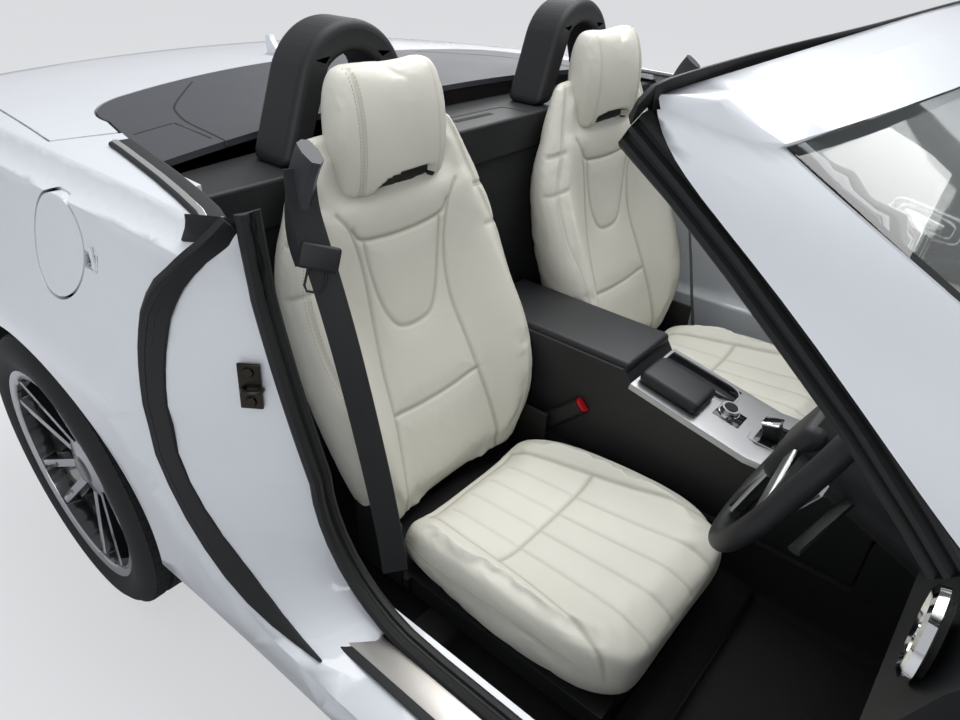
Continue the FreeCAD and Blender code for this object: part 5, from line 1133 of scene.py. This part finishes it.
def tyre_piece(name, node, body, radius, width, inner_radius, centre):
    """A tyre turned round its axle from a section with grooves; each rib is cut into blocks."""
    half = width / 2
    crown = [(radius - 14, half * 0.93), (radius - 5, half * 0.84), (radius - 2.5, half * 0.8)]
    for groove in (0.56, 0.19):
        crown += [(radius - 0.8 - BLOCK_RISE, half * (groove + 0.045)),
                  (radius - GROOVE_DEPTH, half * (groove + 0.035)),
                  (radius - GROOVE_DEPTH, half * (groove - 0.035)),
                  (radius - 0.8 - BLOCK_RISE, half * (groove - 0.045))]
    side = [(inner_radius, half * 0.78), (inner_radius + 6, half * 0.9), (inner_radius + 16, half * 0.93),
            (inner_radius + 18, half * 0.945), (inner_radius + 22, half * 0.95),
            (inner_radius + 24, half * 0.965), (inner_radius + 42, half * 0.995), (radius - 40, half * 1.0),
            (radius - 26, half * 0.985)]
    outline = side + crown
    outline += [(r, -y) for r, y in reversed(outline)]
    shape = bmesh.new()
    points = [shape.verts.new((r, y, 0)) for r, y in outline]
    for start, end in zip(points, points[1:]):
        shape.edges.new((start, end))
    bmesh.ops.spin(shape, geom=shape.verts[:] + shape.edges[:], cent=(0, 0, 0), axis=(0, 1, 0),
                   dvec=(0, 0, 0), angle=2 * math.pi, steps=TREAD_STEPS, use_merge=True, use_duplicate=False)
    bmesh.ops.recalc_face_normals(shape, faces=shape.faces)
    blocks = []
    for face in shape.faces:
        middle = face.calc_center_median()
        reach = math.hypot(middle.x, middle.z)
        if reach > radius - 5.2 and abs(face.normal.y) < 0.5:
            blocks.append(face)
    bmesh.ops.inset_individual(shape, faces=blocks, thickness=BLOCK_EDGE, depth=BLOCK_RISE)
    shape.transform(Matrix.Translation(centre))
    piece = shape_to_piece(name, shape, tyre_rubber, sharp=35, body=body)
    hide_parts(node)


for corner in ("front_right", "front_left", "rear_right", "rear_left"):
    wheel_piece = smooth_copy("wheel_" + corner, wheel_black)
    wheel_piece.data.materials.append(turned_alloy)
    outward = -1 if corner.endswith("right") else 1
    low, high = [to_frame.inverted() @ Vector(point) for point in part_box("tyre_" + corner)]
    centre = (low + high) / 2
    wheel_low, wheel_high = [to_frame.inverted() @ Vector(point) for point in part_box("wheel_" + corner)]
    rim_face = wheel_low.y if outward < 0 else wheel_high.y
    for polygon in wheel_piece.data.polygons:
        middle = to_frame.inverted() @ polygon.center
        reach = math.hypot(middle.x - centre.x, middle.z - centre.z)
        depth = (rim_face - middle.y) * outward
        if polygon.normal.y * outward > 0.9 and HUB_RADIUS < reach and depth < FACE_DEPTH:
            polygon.material_index = 1
    body = frame["nodes"]["tyre_" + corner]["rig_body"]
    radius, width = (high.z - low.z) / 2 - 0.2, high.y - low.y - 1
    tyre_piece("tyre_%s_cut" % corner, "tyre_" + corner, body, radius, width, BEAD_RADIUS, centre)
    shape = bmesh.new()
    for number in range(BOLT_COUNT):
        turn = 2 * math.pi * number / BOLT_COUNT + 0.3
        place = Vector((centre.x + BOLT_CIRCLE * math.cos(turn), rim_face - outward * BOLT_DEPTH,
                        centre.z + BOLT_CIRCLE * math.sin(turn)))
        turned(shape, 9.5, 9.5, 16, 6, Matrix.Translation(place) @ Matrix.Rotation(QUARTER_TURN, 4, "X"))
    bmesh.ops.bevel(shape, geom=shape.edges[:], offset=1, segments=2, affect="EDGES", profile=0.5,
                    material=-1)
    shape_to_piece("bolts_" + corner, shape, bolt_steel, body=body)
    shape = bmesh.new()
    turned(shape, 30, 27, 8, 40, Matrix.Translation((centre.x, rim_face - outward * CAP_DEPTH, centre.z))
           @ Matrix.Rotation(-outward * QUARTER_TURN, 4, "X"))
    shape_to_piece("cap_" + corner, shape, turned_alloy, body=body)


# Glass: a laminated screen bonded into its frame, and moulded polycarbonate lenses over the lamps.

# laminated glass: clear with a faint green edge
glass = finished("laminated glass", "#eef4f1", 0.02, Transmission_Weight=1.0, IOR=1.5)
# clear lens: colourless, with sharp reflections over the bowls behind it
lamp_glass = finished("clear lamp lens", "#f4f6f8", 0.02, Transmission_Weight=0.9, IOR=1.5)
# red lens: deep red that light passes through by half
red_lens = finished("red lamp lens", "#a3131a", 0.08, Transmission_Weight=0.5, IOR=1.5)
smooth_copy("windscreen", glass)
smooth_copy("headlamps", lamp_glass)
smooth_copy("tail_lamps", red_lens)


# Outer fittings: painted door pulls on two pivots, silvered mirror glasses clipped into their shells, arms
# of pressed steel for the wipers, and the lamps' chromed bowls behind their lenses.
DOOR_HINGE = Vector((480, -842, 0))
OPEN_ANGLE = math.radians(62)
to_hinge = Matrix.Translation(DOOR_HINGE)
door_open = to_hinge @ Matrix.Rotation(OPEN_ANGLE, 4, "Z") @ to_hinge.inverted()
LEFT_DOOR = frame["nodes"]["door_left"]["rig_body"]
RIGHT_DOOR = frame["nodes"]["door_right"]["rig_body"]


def open_twin(piece, name):
    """A left door's piece as it is on the right door, which stands open."""
    twin = other_side(piece, name, body=RIGHT_DOOR)
    twin.data.transform(to_frame @ door_open @ to_frame.inverted())
    return twin


door_skin = surface_of(bpy.data.objects["door_left_panel"])
pull_points = [land(door_skin, (x, 1200, z), (0, -1, 0)) for x, z in ((-640, 792), (-560, 796), (-480, 798))]
shape = bmesh.new()
grip = [pull_points[0] + Vector((0, 2, 0)), pull_points[0].lerp(pull_points[1], 0.3) + Vector((0, 20, 0)),
        pull_points[1] + Vector((0, 25, 0)), pull_points[1].lerp(pull_points[2], 0.7) + Vector((0, 20, 0)),
        pull_points[2] + Vector((0, 2, 0))]
swept(shape, rounded_line([tuple(point) for point in grip], 5),
      [(-13, -4), (-13, 3), (-9, 6), (9, 6), (13, 3), (13, -4), (9, -6), (-9, -6)], (0, 1, 0))
pull = shape_to_piece("door_pull_left", shape, white_paint, body=LEFT_DOOR)
open_twin(pull, "door_pull_right")
# silvered glass: a clean cool mirror
mirror_glass = finished("silvered mirror glass", "#eef2f4", 0.01, bump=(40, 0.005), Metallic=1.0)
mirror_skin = surface_of(bpy.data.objects["mirror_left_panel"])
glass_middle = land(mirror_skin, (0, 915, 940), (1, 0, 0))
shape = bmesh.new()
rounded_block(shape, (2.4, 150, 104), Matrix.Translation(glass_middle - Vector((0.8, 0, 0))), 1.1, 2)
mirror_body = frame["nodes"]["mirror_left"]["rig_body"]
mirror_left = shape_to_piece("mirror_glass_left", shape, mirror_glass, body=mirror_body)
open_twin(mirror_left, "mirror_glass_right")
lens_skin = surface_of(bpy.data.objects["headlamps_panel"])
for hand, side in (("left", 1), ("right", -1)):
    bowls, rims = bmesh.new(), bmesh.new()
    for across, height, radius in ((560, 668, 36), (655, 676, 34), (735, 690, 24)):
        front = land(lens_skin, (2400, across * side, height), (-1, 0, 0))
        back = Matrix.Translation(front - Vector((78, 0, 0))) @ Matrix.Rotation(QUARTER_TURN, 4, "Y")
        bowl = bmesh.ops.create_cone(bowls, cap_ends=False, segments=40, radius1=radius * 0.3, radius2=radius,
                                     depth=44)["verts"]
        bmesh.ops.transform(bowls, verts=bowl, matrix=back)
        eye = bmesh.ops.create_uvsphere(rims, u_segments=32, v_segments=16, radius=radius * 0.55)["verts"]
        bmesh.ops.translate(rims, verts=eye, vec=front - Vector((84, 0, 0)))
    bmesh.ops.solidify(bowls, geom=bowls.faces[:] + bowls.edges[:] + bowls.verts[:], thickness=1.5)
    shape_to_piece("lamp_bowls_" + hand, bowls, chrome, sharp=40)
    shape_to_piece("lamp_eyes_" + hand, rims, lamp_glass)
# satin coating: black with a thin highlight along the arm
wiper_black = finished("satin black wiper arm", "#141516", 0.4, bump=(1.5, 0.02))
screen_skin = surface_of(bpy.data.objects["windscreen_panel"])
shape = bmesh.new()
for start, end in (((600, 120), (470, -480)), ((590, 560), (520, 20))):
    line = []
    for step in range(9):
        x, y = [start[axis] + (end[axis] - start[axis]) * step / 8 for axis in (0, 1)]
        landed = land(screen_skin, (x, y, 1500), (0, 0, -1))
        if landed:
            line.append(landed + Vector((0, 0, 7)))
    blade = [point - Vector((0, 0, 5)) for point in line[2:]]
    swept(shape, line, rounded_section(9, 9, 3), (0.3, 0, 1))
    swept(shape, blade, [(-2, -1), (-1, 5), (1, 5), (2, -1)], (0.3, 0, 1))
shape_to_piece("wipers", shape, wiper_black)


# Door cards: a cream hide insert and armrest over foam, a chromed pull in an oval frame and a drilled
# loudspeaker cover, all clipped to the moulded trim.
HOLE_PITCH = 5.0
trim_skin = surface_of(bpy.data.objects["door_trim_left_panel"])
card_y = land(trim_skin, (-200, 400, 640), (0, 1, 0)).y
shape = bmesh.new()
insert_place = Matrix.Translation((-190, card_y - 3, 640)) @ Matrix.Rotation(0.03, 4, "Y")
rounded_block(shape, (560, 12, 120), insert_place, 5.5)
card_pad = shape_to_piece("door_insert_left", shape, cream_hide, body=LEFT_DOOR)
shape = bmesh.new()
rounded_block(shape, (420, 34, 34), Matrix.Translation((-230, card_y - 13, 560)), 13)
card_rest = shape_to_piece("door_armrest_left", shape, cream_hide, body=LEFT_DOOR)
shape = bmesh.new()
handle_turn = Matrix.Translation((-60, card_y - 4, 768)) @ Matrix.Rotation(0.16, 4, "Y")


def squared(value):
    """Bends a circle's coordinate out towards a rectangle with round corners."""
    return math.copysign(abs(value) ** 0.5, value)


for wide, high in ((86, 32), (66, 20)):
    turns = [number * math.pi / 20 for number in range(41)]
    ring = [handle_turn @ Vector((wide * squared(math.cos(turn)), 0, high * squared(math.sin(turn))))
            for turn in turns]
    swept(shape, ring, [(-4, -3), (-3, 3), (0, 5), (3, 3), (4, -3)], (0, -1, 0))
rounded_block(shape, (96, 10, 20), handle_turn @ Matrix.Translation((-6, -7, 0)), 4.5)
card_pull = shape_to_piece("door_catch_left", shape, chrome, body=LEFT_DOOR)
shape = bmesh.new()
speaker_place = Matrix.Translation((240, card_y - 2, 500)) @ Matrix.Rotation(QUARTER_TURN, 4, "X")
turned(shape, 78, 74, 8, 48, speaker_place)
# pressed steel drilled in rows 5 mm apart: a satin grey sheet with near-black dots of painted shade where the
# holes are
speaker_steel, tree, out = blank_material("drilled loudspeaker cover")
holes = add(tree, "TexVoronoi", {"distance": "EUCLIDEAN"}, Vector=add(tree, "TexCoord").outputs["Object"],
            Scale=1000 / HOLE_PITCH, Randomness=0.0)
hole_edge = add(tree, "MapRange", Value=holes.outputs["Distance"], From_Min=0.28, From_Max=0.36)
# painted shade: the holes are darkened to near black instead of being cut
sheet_and_hole_shade = add(tree, "Mix", {"data_type": "RGBA"}, Factor=hole_edge.outputs[0], _6=linear("#050506"),
                  _7=linear("#2b2c2f"))
hole_relief = add(tree, "Bump", Height=hole_edge.outputs[0], Strength=0.8, Distance=0.0008)
speaker_shader = add(tree, "BsdfPrincipled", Base_Color=sheet_and_hole_shade.outputs[2], Roughness=0.5,
                     Normal=hole_relief.outputs[0])
tree.links.new(speaker_shader.outputs[0], out.inputs["Surface"])
card_speaker = shape_to_piece("door_speaker_left", shape, speaker_steel, body=LEFT_DOOR)
for piece, name in ((card_pad, "door_insert_right"), (card_rest, "door_armrest_right"),
                    (card_pull, "door_catch_right"), (card_speaker, "door_speaker_right")):
    twin = open_twin(piece, name)


# Steering wheel: a moulded rim and middle on a cast frame, with satin silver covers clipped to the spokes and
# shift blades behind them; two stalks stand out of the column.
wheel_body = frame["nodes"]["steering_wheel"]["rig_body"]
tilt = math.radians(24)
wheel_up = Vector((math.sin(tilt), 0, math.cos(tilt)))
wheel_out = Vector((-math.cos(tilt), 0, math.sin(tilt)))
wheel_axes = Matrix((Vector((0, 1, 0)), wheel_up, wheel_out)).transposed().to_4x4()
wheel_turn = Matrix.Translation((30, SEAT_MIDDLE, 760)) @ wheel_axes
shape = bmesh.new()
rounded_block(shape, (120, 104, 34), wheel_turn @ Matrix.Translation((0, -4, 14)), 16)
shape_to_piece("wheel_middle_pad", shape, pad_black, body=wheel_body)
shape = bmesh.new()
for side in (-1, 1):
    swept(shape, [wheel_turn @ Vector((side * 58, 2, 17)), wheel_turn @ Vector((side * 110, -4, 12)),
                  wheel_turn @ Vector((side * 158, -8, 7))], rounded_section(26, 5), wheel_out)
    swept(shape, [wheel_turn @ Vector((side * 22, -56, 14)), wheel_turn @ Vector((side * 26, -110, 10)),
                  wheel_turn @ Vector((side * 34, -154, 6))], rounded_section(15, 5), wheel_out)
shape_to_piece("wheel_bright_spokes", shape, satin_silver, body=wheel_body)
shape = bmesh.new()
for side in (-1, 1):
    swept(shape, [wheel_turn @ Vector((side * 92, -26, -22)), wheel_turn @ Vector((side * 122, 4, -24)),
                  wheel_turn @ Vector((side * 128, 44, -26))], rounded_section(22, 4), wheel_out)
shape_to_piece("shift_blades", shape, satin_silver, body=wheel_body)
shape = bmesh.new()
for side in (-1, 1):
    swept(shape, [(92, SEAT_MIDDLE + side * 40, 726), (78, SEAT_MIDDLE + side * 96, 716),
                  (66, SEAT_MIDDLE + side * 150, 708)],
          [(8 * math.cos(a * math.pi / 4), 5 * math.sin(a * math.pi / 4)) for a in range(8)], (0, 0, 1))
shape_to_piece("column_stalks", shape, black_trim)
